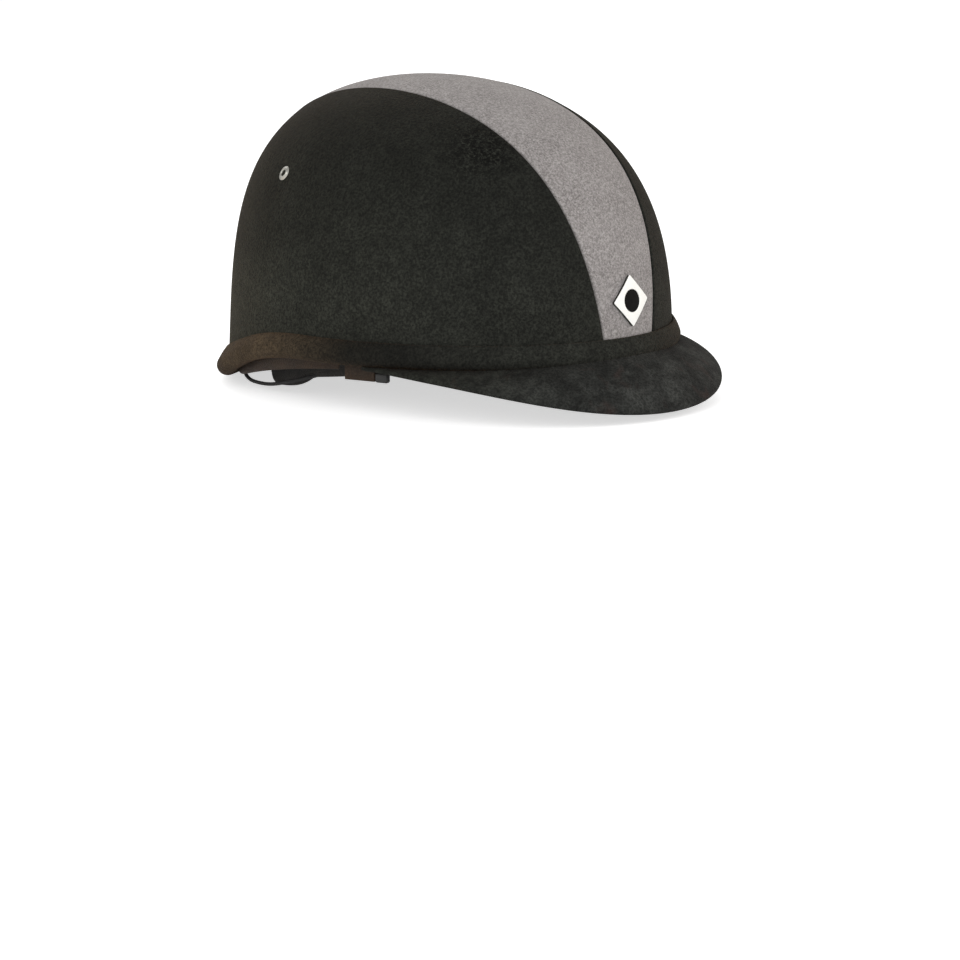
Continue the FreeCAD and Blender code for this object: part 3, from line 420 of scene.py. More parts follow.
def suede(name, tones, stops, nap, cloud, sheen, bloom, rub=0.0, shade_up=0.0, painted_bounce_light=0.0,
          patch=190, ragged=0.6, crease=None):
    """Brushed suede: a fine nap, pin-head grain and cloudy places where it was stroked.

    tones are its middle colours at the stops, places along Y in millimetres. bloom is the colour
    of its sheen and of its rubbed places. shade_up is painted shade that darkens it towards the
    crown, the painted bounce light lightens it low at the rear, and crease is the middle of a worn
    place.
    """
    paint = Paint(name, Roughness=0.95, Sheen_Weight=sheen, Sheen_Roughness=0.28,
                  Sheen_Tint=bloom, Specular_IOR_Level=0.12)
    place = paint.split()
    wavy = place["Y"] + (paint.noise(30, 3, 0.6) - 0.5) * 0.03
    middle = tones[0]
    for before, after, tone in zip(stops, stops[1:], tones[1:]):
        middle = paint.mix(wavy.clamp(before * MM, after * MM), middle, tone)
    grain = paint.noise(780, 3, 0.65, 0.5).clamp(0.40, 0.60)
    fibre = paint.noise(2300, 2, 0.6).clamp(0.36, 0.64)
    stroke = paint.noise(patch, 4, ragged, 0.9).clamp(0.38, 0.64)
    drift = paint.noise(38, 3, 0.55, 0.4).clamp(0.40, 0.62)
    share = 1.0 + (grain * 0.7 + fibre * 0.3 - 0.5) * nap
    share = share * (1.0 + (stroke - 0.45) * (1.3 * cloud)) * (1.0 - (drift - 0.4) * (0.7 * cloud))
    # painted shade: darker towards the crown
    if shade_up:
        share = share * (1.0 - place["Z"].clamp(0.035, 0.115) * shade_up)
    if crease:
        far = paint.node("ShaderNodeVectorMath", {"operation": "DISTANCE"},
                         {0: paint.spot, 1: [part * MM for part in crease]})["Value"]
        worn = 1.0 - far.clamp(0.008, 0.027)
        streak = paint.noise(330, 5, 0.75, 1.6).clamp(0.46, 0.60)
        share = share * (1.0 + worn * (streak - 0.5) * 1.7)
    # painted bounce light: lighter low at the rear
    if painted_bounce_light:
        low_rear = (1.0 - place["Z"].clamp(0.022, 0.055)) * place["Y"].clamp(0.0, 0.045)
        share = share * (1.0 + low_rear * painted_bounce_light)
    tone = paint.times(middle, share)
    if rub:
        rubbed = paint.noise(75, 2, 0.5, 0.6).clamp(0.60, 0.80)
        tone = paint.mix(rubbed * rub, tone, bloom)
    paint.set("Base Color", tone)
    paint.set("Roughness", 0.86 + stroke * 0.1)
    paint.bump(grain * 0.6 + fibre * 0.25 + stroke * 0.3, 0.00035, 0.8)
    return paint.material


def felted_cloth(name, base, light, dark):
    """Heathered brushed cloth of pale and dark hairs in short tufts, with painted shadow at its
    seams.
    """
    paint = Paint(name, Roughness=0.95, Sheen_Weight=0.2, Sheen_Roughness=0.4,
                  Sheen_Tint=colour(220, 214, 208), Specular_IOR_Level=0.12)
    speckle = paint.noise(900, 3, 0.7, 0.3).clamp(0.38, 0.62)
    hair = paint.noise(2600, 2, 0.6).clamp(0.36, 0.64)
    tuft = paint.noise(330, 3, 0.6, 0.9).clamp(0.40, 0.62)
    drift = paint.noise(50, 3, 0.5).clamp(0.35, 0.68)
    tone = paint.mix(speckle * 0.7 + hair * 0.3, dark, light)
    tone = paint.mix(0.30, tone, base)
    tone = paint.mix(tuft * 0.22, tone, dark)
    tone = paint.mix(drift * 0.14, tone, light)
    place = paint.split()
    # painted shadow: near black within 1.1 mm of each seam, standing in for the shade at the
    # folded suede edge
    out = place["X"].absolute() - place["Z"] * PANEL_WIDENING_UP \
        + place["Y"] * PANEL_WIDENING_FORWARD
    seam = out.clamp((PANEL_HALF_WIDTH - 1.1) * MM, PANEL_HALF_WIDTH * MM)
    paint.set("Base Color", paint.mix(seam * 0.6, tone, (0.01, 0.009, 0.008, 1)))
    paint.bump(speckle * 0.6 + hair * 0.2 + tuft * 0.3, 0.0003, 0.7)
    return paint.material


def satin_plate(name, tone, metal, rough):
    """Satin plating: mostly even and bright, with faint rubbing marks."""
    paint = Paint(name, Metallic=metal, Base_Color=tone)
    marks = paint.noise(900, 3, 0.6).clamp(0.3, 0.75)
    paint.set("Roughness", rough + marks * 0.08)
    paint.bump(marks, 0.00001, 0.3)
    return paint.material


def bright_metal(name, tone, rough):
    """Plated metal with faint wear and fine rubbing marks."""
    paint = Paint(name, Metallic=1.0, Base_Color=tone)
    marks = paint.noise(900, 3, 0.6).clamp(0.3, 0.75)
    wear = paint.noise(140, 3, 0.5).clamp(0.45, 0.75)
    paint.set("Roughness", rough + marks * 0.10 + wear * 0.06)
    paint.bump(marks, 0.00002, 0.4)
    return paint.material


def enamel(name, tone):
    """Dull enamel with a few soft marks."""
    paint = Paint(name, Base_Color=tone, Specular_IOR_Level=0.08)
    paint.set("Roughness", 0.5 + paint.noise(500).clamp(0.4, 0.8) * 0.12)
    return paint.material


def moulded(name, tone, rough=0.42):
    """Moulded plastic with a fine sparked grain."""
    paint = Paint(name)
    grain = paint.noise(2600, 2, 0.6).clamp(0.3, 0.7)
    cloud = paint.noise(120, 3).clamp(0.35, 0.7)
    paint.set("Base Color", paint.mix(cloud * 0.35, tone, paler(tone, 1.5)))
    paint.set("Roughness", rough + grain * 0.14)
    paint.bump(grain, 0.00004, 0.5)
    return paint.material


def foam(name, tone):
    """Expanded foam: fused beads with dark joints between them."""
    paint = Paint(name, Roughness=0.8)
    bead = paint.cells(330, "DISTANCE_TO_EDGE").clamp(0.0, 0.12)
    speck = paint.noise(900).clamp(0.3, 0.7)
    paint.set("Base Color", paint.mix(bead * 0.8 + speck * 0.2, tone, paler(tone, 1.6)))
    paint.bump(bead, 0.0003, 0.7)
    return paint.material


def knit(name, tone, pale):
    """Soft lining knit: close ribs crossed by small stitches."""
    paint = Paint(name, Roughness=0.95, Sheen_Weight=0.4, Sheen_Roughness=0.5)
    place = paint.split()
    round_about = paint.node("ShaderNodeMath", {"operation": "ARCTAN2"},
                             {0: place["X"], 1: place["Y"]})["Value"]
    wales = (round_about * 780).sine() * 0.5 + 0.5
    courses = (place["Z"] * 5200).sine() * 0.5 + 0.5
    loops = wales * courses
    fuzz = paint.noise(1300).clamp(0.3, 0.7)
    paint.set("Base Color", paint.mix(loops * 0.6 + fuzz * 0.4, tone, pale))
    paint.bump(loops * 0.7 + fuzz * 0.3, 0.00025, 0.7)
    return paint.material


def woven(name, tone, pale):
    """Flat webbing: slanted ribs on the strap's own length and width."""
    rib_pitch, twill_pitch = 2.0, 1.1
    paint = Paint(name, Roughness=0.8, Sheen_Weight=0.2)
    across, along = paint.strip_place()
    rib = (across * (2 * math.pi / rib_pitch)).sine() * 0.5 + 0.5
    twill = ((along + across) * (2 * math.pi / twill_pitch)).sine() * 0.5 + 0.5
    yarn = rib * 0.6 + twill * 0.4
    fuzz = paint.noise(1800).clamp(0.3, 0.7)
    paint.set("Base Color", paint.mix(yarn * 0.7 + fuzz * 0.3, tone, pale))
    paint.bump(yarn * 0.85 + fuzz * 0.15, 0.0003, 0.8)
    return paint.material


def hide(name, tone, pale):
    """Soft leather: small pebbles, creases and rubbed tops."""
    paint = Paint(name, Specular_IOR_Level=0.2)
    pebble = paint.cells(750, "DISTANCE_TO_EDGE").clamp(0.0, 0.18)
    cloud = paint.noise(90, 4).clamp(0.35, 0.7)
    fine = paint.noise(2200).clamp(0.3, 0.7)
    paint.set("Base Color", paint.mix(cloud * 0.5 + pebble * 0.4, tone, pale))
    paint.set("Roughness", 0.62 - pebble * 0.14)
    paint.bump(pebble * 0.8 + fine * 0.2, 0.0002, 0.7)
    return paint.material


def hook_tape(name, tone):
    """Tape set with small dark hooks."""
    paint = Paint(name, Roughness=0.7)
    hooks = paint.cells(1500).clamp(0.1, 0.6)
    paint.set("Base Color", paint.mix(1 - hooks, tone, paler(tone, 2.2)))
    paint.bump(1 - hooks, 0.0005, 0.9)
    return paint.material


def braid(name, tone, pale):
    """Round braided lace: crossing strands on its own length and girth."""
    paint = Paint(name, Roughness=0.75)
    girth, along = paint.strip_place()
    left = ((girth * 2.0 + along * 1.6) * math.pi).sine().absolute()
    right = ((girth * 2.0 - along * 1.6) * math.pi).sine().absolute()
    strands = left * right
    paint.set("Base Color", paint.mix(strands, tone, pale))
    paint.bump(strands, 0.0002, 0.7)
    return paint.material


def twisted(name, tone, pale):
    """Lace that lies free: short strands and fuzz, on its place in space."""
    paint = Paint(name, Roughness=0.75)
    strand = paint.cells(1100, "DISTANCE_TO_EDGE").clamp(0.0, 0.14)
    fuzz = paint.noise(2100).clamp(0.36, 0.64)
    paint.set("Base Color", paint.mix(strand * 0.7 + fuzz * 0.3, tone, pale))
    paint.bump(strand, 0.0002, 0.7)
    return paint.material


# painted light in the side suede: its warmer tone at the rear edge is partly painted sheen, and it
# carries painted shade towards the crown and painted bounce light low at the rear
SUEDE_SIDE = suede("suede_side", (colour(37, 38, 34), colour(37, 38, 33), colour(35, 35, 29),
                                  colour(46, 41, 32)), (-90, 20, 82, 122),
                   nap=1.2, cloud=0.3, sheen=0.2, bloom=colour(128, 104, 78), shade_up=0.40,
                   painted_bounce_light=0.45, crease=(-46, -66, 112))
# the band's warm brown tones towards the rear are partly its own colour and partly painted warm
# bounce light
SUEDE_BAND = suede("suede_band", (colour(38, 39, 35), colour(25, 25, 22), colour(27, 26, 22),
                                  colour(64, 54, 41), colour(54, 46, 35), colour(33, 29, 23)),
                   (-105, -62, -30, 36, 80, 110),
                   nap=1.1, cloud=0.3, sheen=0.3, bloom=colour(132, 98, 66))
SUEDE_PEAK = suede("suede_peak", (colour(47, 48, 46), colour(33, 34, 30)), (-150, -80),
                   nap=1.0, cloud=0.6, sheen=0.15, bloom=colour(84, 62, 56), rub=0.25, patch=85,
                   ragged=0.5)
GREY_CLOTH = felted_cloth("grey_cloth", colour(143, 138, 136), colour(190, 185, 183),
                          colour(84, 80, 79))
PLATE = satin_plate("silver_plate", colour(246, 246, 242), 0.12, 0.34)
EYELET = satin_plate("eyelet_metal", colour(178, 176, 168), 0.85, 0.32)
# painted shade for the side walls of the badge plate
PLATE_WALL_SHADE = satin_plate("plate_wall_painted_shade", colour(70, 69, 64), 0.8, 0.4)
DARK_STEEL = bright_metal("dark_steel", colour(96, 94, 92), 0.34)
BLACK_ENAMEL = enamel("black_enamel", colour(5, 5, 5))
PLASTIC = moulded("black_plastic", colour(30, 30, 29))
FOAM = foam("liner_foam", colour(44, 44, 46))
KNIT = knit("pad_knit", colour(48, 48, 50), colour(82, 81, 82))
WEBBING = woven("webbing", colour(22, 22, 23), colour(52, 51, 50))
HIDE = hide("harness_hide", colour(27, 26, 24), colour(46, 43, 39))
STRIP_HIDE = hide("strip_hide", colour(38, 29, 21), colour(60, 45, 32))
HOOKS = hook_tape("hook_tape", colour(24, 24, 25))
LACE = braid("lace", colour(14, 14, 15), colour(40, 39, 38))
CORD = twisted("free_lace", colour(14, 14, 15), colour(40, 39, 38))
THREAD = moulded("thread", colour(46, 42, 38), 0.7)


# ---- covers of the shell ----------------------------------------------------------------------
COVER_EDGE_LIFT = SHELL_EDGE_LIFT + 0.2
SEAM_GAP, FOLD_WIDTH, SKIN_DEPTH = 0.3, 1.3, COVER * 0.9


def dome_mesh():
    """Mesh work of the dome's outside, in rows from below the rim to the crown."""
    around, up, depth, skirt_rows = 300, 130, 16.0, 7
    skirt = np.linspace(-depth, 0, skirt_rows + 1)[:-1]
    rise = 1 - (1 - np.linspace(0, 1, up + 1)) ** 1.35
    rise = rise[rise < 0.9995]
    along = np.linspace(0, 1, len(MERIDIAN_TABLE))
    share, height, shift = (np.interp(rise, along, values) for values in MERIDIAN_TABLE.T)
    low_share, low_shift = level_shape(skirt)
    share = np.concatenate([low_share, share])[:, None]
    height = np.concatenate([skirt, height * DOME_HEIGHT])[:, None]
    shift = np.concatenate([low_shift, shift * HALF_LENGTH])[:, None]
    angle = np.radians(np.arange(around) * 360.0 / around)[None, :]
    points = np.stack([-HALF_WIDTH * share * np.sin(angle),
                       -HALF_LENGTH * share * np.cos(angle) + shift, height + 0 * angle], -1)
    rows, columns = points.shape[:2]
    work = bmesh.new()
    verts = [work.verts.new(p) for p in points.reshape(-1, 3)]
    for face in grid_faces(rows, columns, wrap_columns=True):
        work.faces.new([verts[i] for i in face])
    top = work.verts.new((0, CROWN_MIDDLE, DOME_HEIGHT))
    last = (rows - 1) * columns
    for j in range(columns):
        work.faces.new((verts[last + j], verts[last + (j + 1) % columns], top))
    return work


def cut_along(work, spot, normal, drop_behind=True):
    """Cut the mesh along a plane; what lies behind it goes, unless the cut is only an edge."""
    parts = work.verts[:] + work.edges[:] + work.faces[:]
    bmesh.ops.bisect_plane(work, geom=parts, dist=1e-5, plane_co=spot, plane_no=normal,
                           clear_inner=drop_behind)


def seam_plane(side, gap):
    """Point on and outward direction of one seam's plane, moved gap mm outwards."""
    spot = Vector((side * (PANEL_HALF_WIDTH + gap), 0, 0))
    return spot, Vector((side, PANEL_WIDENING_FORWARD, -PANEL_WIDENING_UP))


def seam_distance(points):
    """Distance from the nearer seam, less than 0 on the centre panel."""
    x, y, z = np.moveaxis(points, -1, 0)
    return np.abs(x) - (PANEL_HALF_WIDTH + PANEL_WIDENING_UP * z - PANEL_WIDENING_FORWARD * y)


def above_rim(work, lift):
    """Cut away what lies under the rim line raised by lift, and bring the edge up to the line."""
    low = [vert for vert in work.verts if vert.co.z < line_height(RIM, vert.co.y) + lift]
    below = set(low)
    for face in list(work.faces):
        if all(vert in below for vert in face.verts):
            work.faces.remove(face)
    for vert in low:
        if not vert.link_faces:
            work.verts.remove(vert)
            continue
        vert.co.z = line_height(RIM, vert.co.y) + lift
        share, shift = level_shape(vert.co.z)
        flat = np.array((vert.co.x / HALF_WIDTH, (vert.co.y - shift) / HALF_LENGTH))
        flat = flat / np.linalg.norm(flat) * share
        vert.co.x, vert.co.y = flat[0] * HALF_WIDTH, flat[1] * HALF_LENGTH + shift


def skin_piece(name, work, material, raise_by):
    """Closed skin over the dome: outer face raised by raise_by(points), inner face under it."""
    above_rim(work, COVER_EDGE_LIFT)
    work.verts.index_update()
    points = np.array([vert.co[:] for vert in work.verts])
    normals = normal_at(points)
    outer = points + normals * raise_by(points)[:, None]
    inner = points - normals * SKIN_DEPTH
    size = len(points)
    faces = []
    for face in work.faces:
        loop = [vert.index for vert in face.verts]
        faces.append(loop)
        faces.append([i + size for i in reversed(loop)])
    for edge in work.edges:
        if len(edge.link_faces) == 1:
            loop = edge.link_loops[0]
            a, b = loop.vert.index, loop.link_loop_next.vert.index
            faces.append([b, a, a + size, b + size])
    work.free()
    return new_piece(name, np.concatenate([outer, inner]), faces, material)


def vent_frame(side):
    """Middle and outward normal of one vent."""
    spot = along_rays(np.array([(0, EYELET_BACK, EYELET_HEIGHT)], float), (-1, 0, 0))
    return twin(spot, side)[0], twin(normal_at(spot), side)[0]


def make_side_cover(side):
    """Suede of one side: its edge folds over at the seam, and it dimples at the vent."""
    work = dome_mesh()
    cut_along(work, *seam_plane(side, SEAM_GAP))
    for step in (0.1, 0.25, 0.5, 0.85, FOLD_WIDTH, 2.0, 3.0, 4.5):
        cut_along(work, *seam_plane(side, SEAM_GAP + step), drop_behind=False)
    vent = vent_frame(side)[0]

    def raise_by(points):
        run = seam_distance(points) - SEAM_GAP
        turn = np.clip(run / FOLD_WIDTH, 0, 1)
        fold = 0.55 * np.sqrt(np.maximum(0, 1 - (1 - turn) ** 2)) - 0.2
        fold = np.where(run > FOLD_WIDTH, 0.35 * np.exp(-(run - FOLD_WIDTH) / 5.0), fold)
        far = np.linalg.norm(points - vent, axis=-1)
        dimple = -0.35 * np.exp(-(far / 5.5) ** 2)
        return fold + dimple + wander(points, 24.0, 0.05, 2.0 + side)

    return skin_piece("side_suede_" + END[side], work, SUEDE_SIDE, raise_by)


def make_centre_cloth():
    """Grey cloth between the seams, drawn down along them."""
    work = dome_mesh()
    for side in (-1, 1):
        spot, out = seam_plane(side, -0.05)
        cut_along(work, spot, -out)
        for step in (0.3, 0.7, 1.3, 2.2):
            cut_along(work, seam_plane(side, -step)[0], -out, drop_behind=False)

    def raise_by(points):
        run = -seam_distance(points)
        return -0.55 * np.exp(-(run / 0.9) ** 2) + wander(points, 18.0, 0.04, 5.0)

    return skin_piece("centre_cloth", work, GREY_CLOTH, raise_by)


# ---- rim band and its bead --------------------------------------------------------------------
def bead_size(theta):
    """Radius of the bead and its centre's distance outside the shell, less at the front."""
    cosine = max(0.0, math.cos(math.radians(theta)))
    slim = (BEAD_RADIUS - BEAD_FRONT_RADIUS) * cosine * cosine * (3 - 2 * cosine)
    return BEAD_RADIUS - slim, BEAD_OUT - slim


def band_profile(theta):
    """Outline of the band at theta as (distance outside the wall, height) pairs."""
    y = wall(theta, 0, 0)[1]
    y = wall(theta, 0, float(line_height(RIM, y)))[1]
    top, rim = float(line_height(BAND, y)), float(line_height(RIM, y))
    radius, centre_out = bead_size(theta)
    centre = rim + radius
    run, rise = centre_out - BAND_LIP, top - centre
    touch = math.atan2(rise, -run) - math.acos(radius / math.hypot(run, rise))
    last = -math.pi + math.asin((radius - LINER_EDGE_LIFT + 0.3) / radius)

    def on(reach, angle):
        return (centre_out + reach * math.cos(angle), centre + reach * math.sin(angle))

    low_out, low_height = on(radius, touch)
    profile = [(0.1, top - 0.9), (0.1, top - 0.3), (0.3, top - 0.08), (0.6, top - 0.02),
               (0.88, top - 0.15)]
    for part in (0.07, 0.16, 0.3, 0.45, 0.6, 0.75, 0.88):
        swell = 0.22 * math.sin(math.pi * part)
        profile.append((BAND_LIP + (low_out - BAND_LIP) * part + swell * math.cos(touch),
                        top + (low_height - top) * part + swell * math.sin(touch)))
    for i in range(17):
        profile.append(on(radius, touch + (last - touch) * i / 16))
    for i in range(7):
        profile.append(on(radius - BAND_SKIN, last + (touch - last) * i / 6))
    return profile


def make_band():
    """Suede band round the rim, rolled over the bead."""
    sections = []
    for theta in np.linspace(0, 360, 400, endpoint=False):
        profile = np.array(band_profile(theta))
        sections.append(wall(theta, 0, profile[:, 1])
                        + wall_normal(theta)[None, :] * profile[:, :1])
    return new_piece("band_suede", *ring(sections), SUEDE_BAND)


# ---- peak -------------------------------------------------------------------------------------
def peak_frame(angle):
    """Root, run to the edge and upward normal of the peak at an angle from the front."""
    turn = math.radians(angle)
    sine, cosine = math.sin(turn), math.cos(turn)
    edge = np.array((-PEAK_HALF_WIDTH * sine * (1 + PEAK_SHOULDER * cosine ** 2),
                     -PEAK_ROOT_BACK - PEAK_HALF_LENGTH * cosine,
                     PEAK_SIDE_LEVEL - PEAK_TIP_DROP * cosine
                     + PEAK_SIDE_LIFT * sine * sine * cosine
                     - PEAK_SHOULDER_DIP * (sine * cosine) ** 2))
    root = wall(angle * PEAK_ROOT_SPREAD, PEAK_ROOT_INSET,
                PEAK_ROOT_LEVEL + PEAK_ROOT_LIFT * cosine ** 4)
    along = edge - root
    flat = math.hypot(along[0], along[1])
    normal = np.array((-along[0] * along[2], -along[1] * along[2], flat ** 2))
    return root, along, normal / np.linalg.norm(normal)


class PeakSection:
    """The peak at one angle from the front; shares of the run end where the edge rounds."""

    def __init__(self, angle):
        self.root, self.along, self.normal = peak_frame(angle)
        self.length = np.linalg.norm(self.along)
        cosine = math.cos(math.radians(angle))
        self.crown = 4 * PEAK_CROWN * cosine ** 2
        self.root_thick = PEAK_EDGE_THICK + (PEAK_ROOT_THICK - PEAK_EDGE_THICK) * cosine
        taper = PEAK_END_TAPER + (90 - abs(angle)) / PEAK_TAPER_ANGLE
        self.edge_thick = PEAK_EDGE_THICK * min(1.0, taper)
        self.end = 1 - self.edge_thick / 2 / self.length

    def spot(self, share, depth):
        """Point at a share of the run, depth mm under the top face."""
        lift = self.crown * share * (1 - share) + self.edge_thick / 2 * share
        return self.root + self.along * share + self.normal * (lift - depth)

    def under(self, share):
        """Depth of the under face."""
        return self.root_thick + (self.edge_thick - self.root_thick) * share / self.end

    def rounded_edge(self, inset, steps=10):
        """Points round the edge from the top face to the under face."""
        radius = self.edge_thick / 2 - inset
        points = []
        for i in range(steps + 1):
            turn = math.pi / 2 - math.pi * i / steps
            points.append(self.spot(self.end, self.edge_thick / 2 - radius * math.sin(turn))
                          + self.along * (radius * math.cos(turn) / self.length))
        return points


def make_peak_covers():
    """The suede over the peak's top and round its edge, and the cloth under it."""
    top_outer, top_inner, low_outer, low_inner = [], [], [], []
    for angle in np.linspace(-PEAK_END_ANGLE, PEAK_END_ANGLE, 181):
        peak = PeakSection(angle)
        shares = peak.end * np.linspace(0.06, 1, 23)[:-1]
        top_outer.append([peak.spot(share, 0.0) for share in shares] + peak.rounded_edge(0.0))
        top_inner.append([peak.spot(share, PEAK_COVER) for share in shares]
                         + peak.rounded_edge(PEAK_COVER))
        shares = peak.end * np.linspace(0.10, 1, 19)
        swell = 0.25 * np.sin(np.linspace(0, math.pi, 19))
        low_outer.append([peak.spot(share, peak.under(share) + fall)
                          for share, fall in zip(shares, swell)])
        low_inner.append([peak.spot(share, peak.under(share) - PEAK_COVER + 0.05)
                          for share in shares])
    return (new_piece("peak_top_suede", *slab(np.array(top_outer), np.array(top_inner)),
                      SUEDE_PEAK),
            new_piece("peak_under_cloth", *slab(np.array(low_outer), np.array(low_inner)),
                      SUEDE_PEAK))


# ---- badge and vents ----------------------------------------------------------------------------
INLAY_RADIUS = BADGE_HALF / math.sqrt(2) - BADGE_BORDER


def on_front(flat, lift):
    """Points over the front of the shell at (x, z) pairs, lift mm outside it."""
    starts = np.array([(x, 0, z) for x, z in flat], float)
    spots = along_rays(starts, (0, -1, 0))
    return spots + normal_at(spots) * lift


def lozenge(inset):
    """Outline of the lozenge inset mm inside its edge, with barely eased corners."""
    count, ease = 40, 0.45
    half = BADGE_HALF - inset * math.sqrt(2)
    side = half * math.sqrt(2)
    flat = []
    for i in range(4):
        a, b = ((half * math.cos(turn), half * math.sin(turn))
                for turn in (i * math.pi / 2, (i + 1) * math.pi / 2))
        for share in np.linspace(ease / side, 1 - ease / side, count):
            flat.append((a[0] + (b[0] - a[0]) * share,
                         BADGE_HEIGHT + a[1] + (b[1] - a[1]) * share))
    return flat


def make_badge():
    """Plain lozenge plate over the front, its side walls painted dark as shade, and the round
    enamel dot in its middle.
    """
    angles = [math.atan2(z - BADGE_HEIGHT, x) for x, z in lozenge(0.0)]

    def edge(inset, lift):
        return on_front(lozenge(inset), lift)

    def circle(radius, lift):
        flat = [(radius * math.cos(a), BADGE_HEIGHT + radius * math.sin(a)) for a in angles]
        return on_front(flat, lift)

    top, radius = BADGE_THICK, INLAY_RADIUS
    rows = [edge(0.0, 0.12), edge(0.0, top - 0.3), edge(0.05, top - 0.12),
            edge(0.16, top - 0.03), edge(0.35, top), edge(1.2, top), edge(2.2, top),
            circle(radius + 0.3, top), circle(radius + 0.08, top - 0.03),
            circle(radius, top - 0.12), circle(radius, 0.3), circle(0.4 * radius, 0.3)]
    plate = new_piece("badge_lozenge", *tube(rows), PLATE)
    # painted shade: the plate's side walls take a dark plating that stands in for their shadow
    plate.data.materials.append(PLATE_WALL_SHADE)
    for face in plate.data.polygons:
        middle = np.array(face.center[:]) / MM
        upright = abs(normal_at(middle[None])[0] @ np.array(face.normal[:]))
        far = math.hypot(middle[0], middle[2] - BADGE_HEIGHT)
        if upright < 0.5 and far > INLAY_RADIUS + 0.5:
            face.material_index = 1
    rows = [circle(radius - 0.05, 0.35), circle(radius - 0.05, top - 0.18),
            circle(radius * 0.985 - 0.05, top - 0.12)]
    rows += [circle(radius * share - 0.05, top - 0.10) for share in (0.95, 0.75, 0.5, 0.25)]
    return plate, new_piece("badge_enamel", *tube(rows), BLACK_ENAMEL)


def make_vent(side):
    """Eyelet with a rolled lip and a thin flange."""
    hole, outer, roll = EYELET_HOLE, EYELET_FLANGE, 0.62
    profile = [(hole, -5.9), (hole, -0.2)]
    for turn in np.linspace(math.pi, 0, 9):
        profile.append((hole + roll + roll * math.cos(turn), 0.12 + 0.5 * math.sin(turn)))
    profile += [(outer - 0.6, 0.02), (outer - 0.15, -0.05), (outer, -0.18), (outer - 0.3, -0.35),
                (hole + 0.5, -0.35), (hole + 0.5, -5.9)]
    return new_piece("vent_" + END[side], *turned(profile, *vent_frame(side), 64), EYELET)


# ---- straps, lace and leather of the harness ----------------------------------------------------
def ribbon(name, spots, halves, thick):
    """Flat webbing along spots; halves run from its middle to one edge, edges rounded."""
    spots, halves = np.array(spots, float), np.array(halves, float)
    thick = np.broadcast_to(thick, len(spots)) / 2
    run = np.gradient(spots, axis=0)
    up = np.cross(run, halves)
    up /= np.linalg.norm(up, axis=1, keepdims=True)
    wide = np.linalg.norm(halves, axis=1)
    length = np.concatenate([[0], np.cumsum(np.linalg.norm(np.diff(spots, axis=0), axis=1))])
    sections, places = [], []
    for spot, half, over, w, t, at in zip(spots, halves, up, wide, thick, length):
        out = half / w
        outline = [(k * (w - t), t) for k in np.linspace(-1, 1, 9)]
        ends = [(t * math.cos(a), t * math.sin(a)) for a in (1.1, 0.55, 0, -0.55, -1.1)]
        outline += [(w - t + across, rise) for across, rise in ends]
        outline += [(-k * (w - t), -t) for k in np.linspace(-1, 1, 9)]
        outline += [(t - w - across, -rise) for across, rise in ends]
        sections.append([spot + out * across + over * rise for across, rise in outline])
        places += [(across, at) for across, _ in outline]
    return new_piece(name, *tube(sections), WEBBING, places)


def drawn_curve(name, control):
    """A smooth curve object drawn by its control points."""
    curve = bpy.data.curves.new(name, "CURVE")
    curve.dimensions = "3D"
    line = curve.splines.new("NURBS")
    line.points.add(len(control) - 1)
    for point, spot in zip(line.points, control):
        point.co = (*spot, 1.0)
    line.order_u = 3
    line.use_endpoint_u = True
    return placed(name, curve)


def line_through(control):
    """Points of a smooth curve drawn by its control points."""
    drawn = drawn_curve("line", control)
    drawn.data.resolution_u = 6
    mesh = plain_mesh(drawn)
    points = spots_of(mesh)
    bpy.data.objects.remove(drawn)
    bpy.data.meshes.remove(mesh)
    return points


def rod(name, lines, radius, material):
    """Round cords, one along each line of points, as one piece."""
    around = 12
    points, faces, places = [], [], []
    for line in lines:
        run = np.gradient(line, axis=0)
        run /= np.linalg.norm(run, axis=1, keepdims=True)
        over = np.array((0.13, 0.21, 0.97))
        faces += tube_faces(len(line), around, len(points))
        length = 0.0
        for i, (spot, ahead) in enumerate(zip(line, run)):
            over = over - ahead * (over @ ahead)
            over /= np.linalg.norm(over)
            out = np.cross(ahead, over)
            length += np.linalg.norm(spot - line[i - 1]) if i else 0
            for j in range(around):
                turn = 2 * math.pi * j / around
                points.append(spot + radius * (over * math.cos(turn) + out * math.sin(turn)))
                places.append((abs(2 * j / around - 1), length))
    return new_piece(name, points, faces, material, places)


def anchor_place(root):
    """Outer middle and outward normal of one anchor on the wearer's right."""
    theta = math.degrees(math.acos(-root / (HALF_LENGTH - ANCHOR_INSET)))
    return wall(theta, ANCHOR_INSET, 0.0), wall_normal(theta, ANCHOR_INSET)


def make_anchor(row, side):
    """Webbing down the shell's inside, bent at the rim and twisting level to the hinge."""
    bend, root = 1.8, ROOTS[row]
    spot, normal = anchor_place(root)
    middle = spot - normal * WEB_THICK / 2
    edge = np.array((normal[1], -normal[0], 0.0))
    edge *= math.copysign(1, edge[1])
    end = np.array((-HINGE_X - WEB_THICK / 2 - 0.35, root, HINGE_Z))
    ahead = end - (middle + (0, 0, HINGE_Z))
    reach = np.linalg.norm(ahead)
    ahead /= reach
    spots = [middle + (0, 0, z) for z in np.linspace(ANCHOR_TOP, HINGE_Z + bend, 12)]
    for turn in np.radians((18, 36, 54, 72, 90)):
        spots.append(middle + ahead * bend * (1 - math.cos(turn))
                     + (0, 0, HINGE_Z + bend - bend * math.sin(turn)))
    halves = [edge * WEB_HALF] * len(spots)
    for share in np.linspace(bend / reach, 1, 12)[1:]:
        spots.append(middle + (0, 0, HINGE_Z) + ahead * reach * share)
        halves.append(WEB_HALF * (edge * (1 - share) + np.array((0, 1, 0)) * share))
    return ribbon(f"{row}_anchor_webbing_{END[side]}", twin(spots, side), twin(halves, side),
                  WEB_THICK)


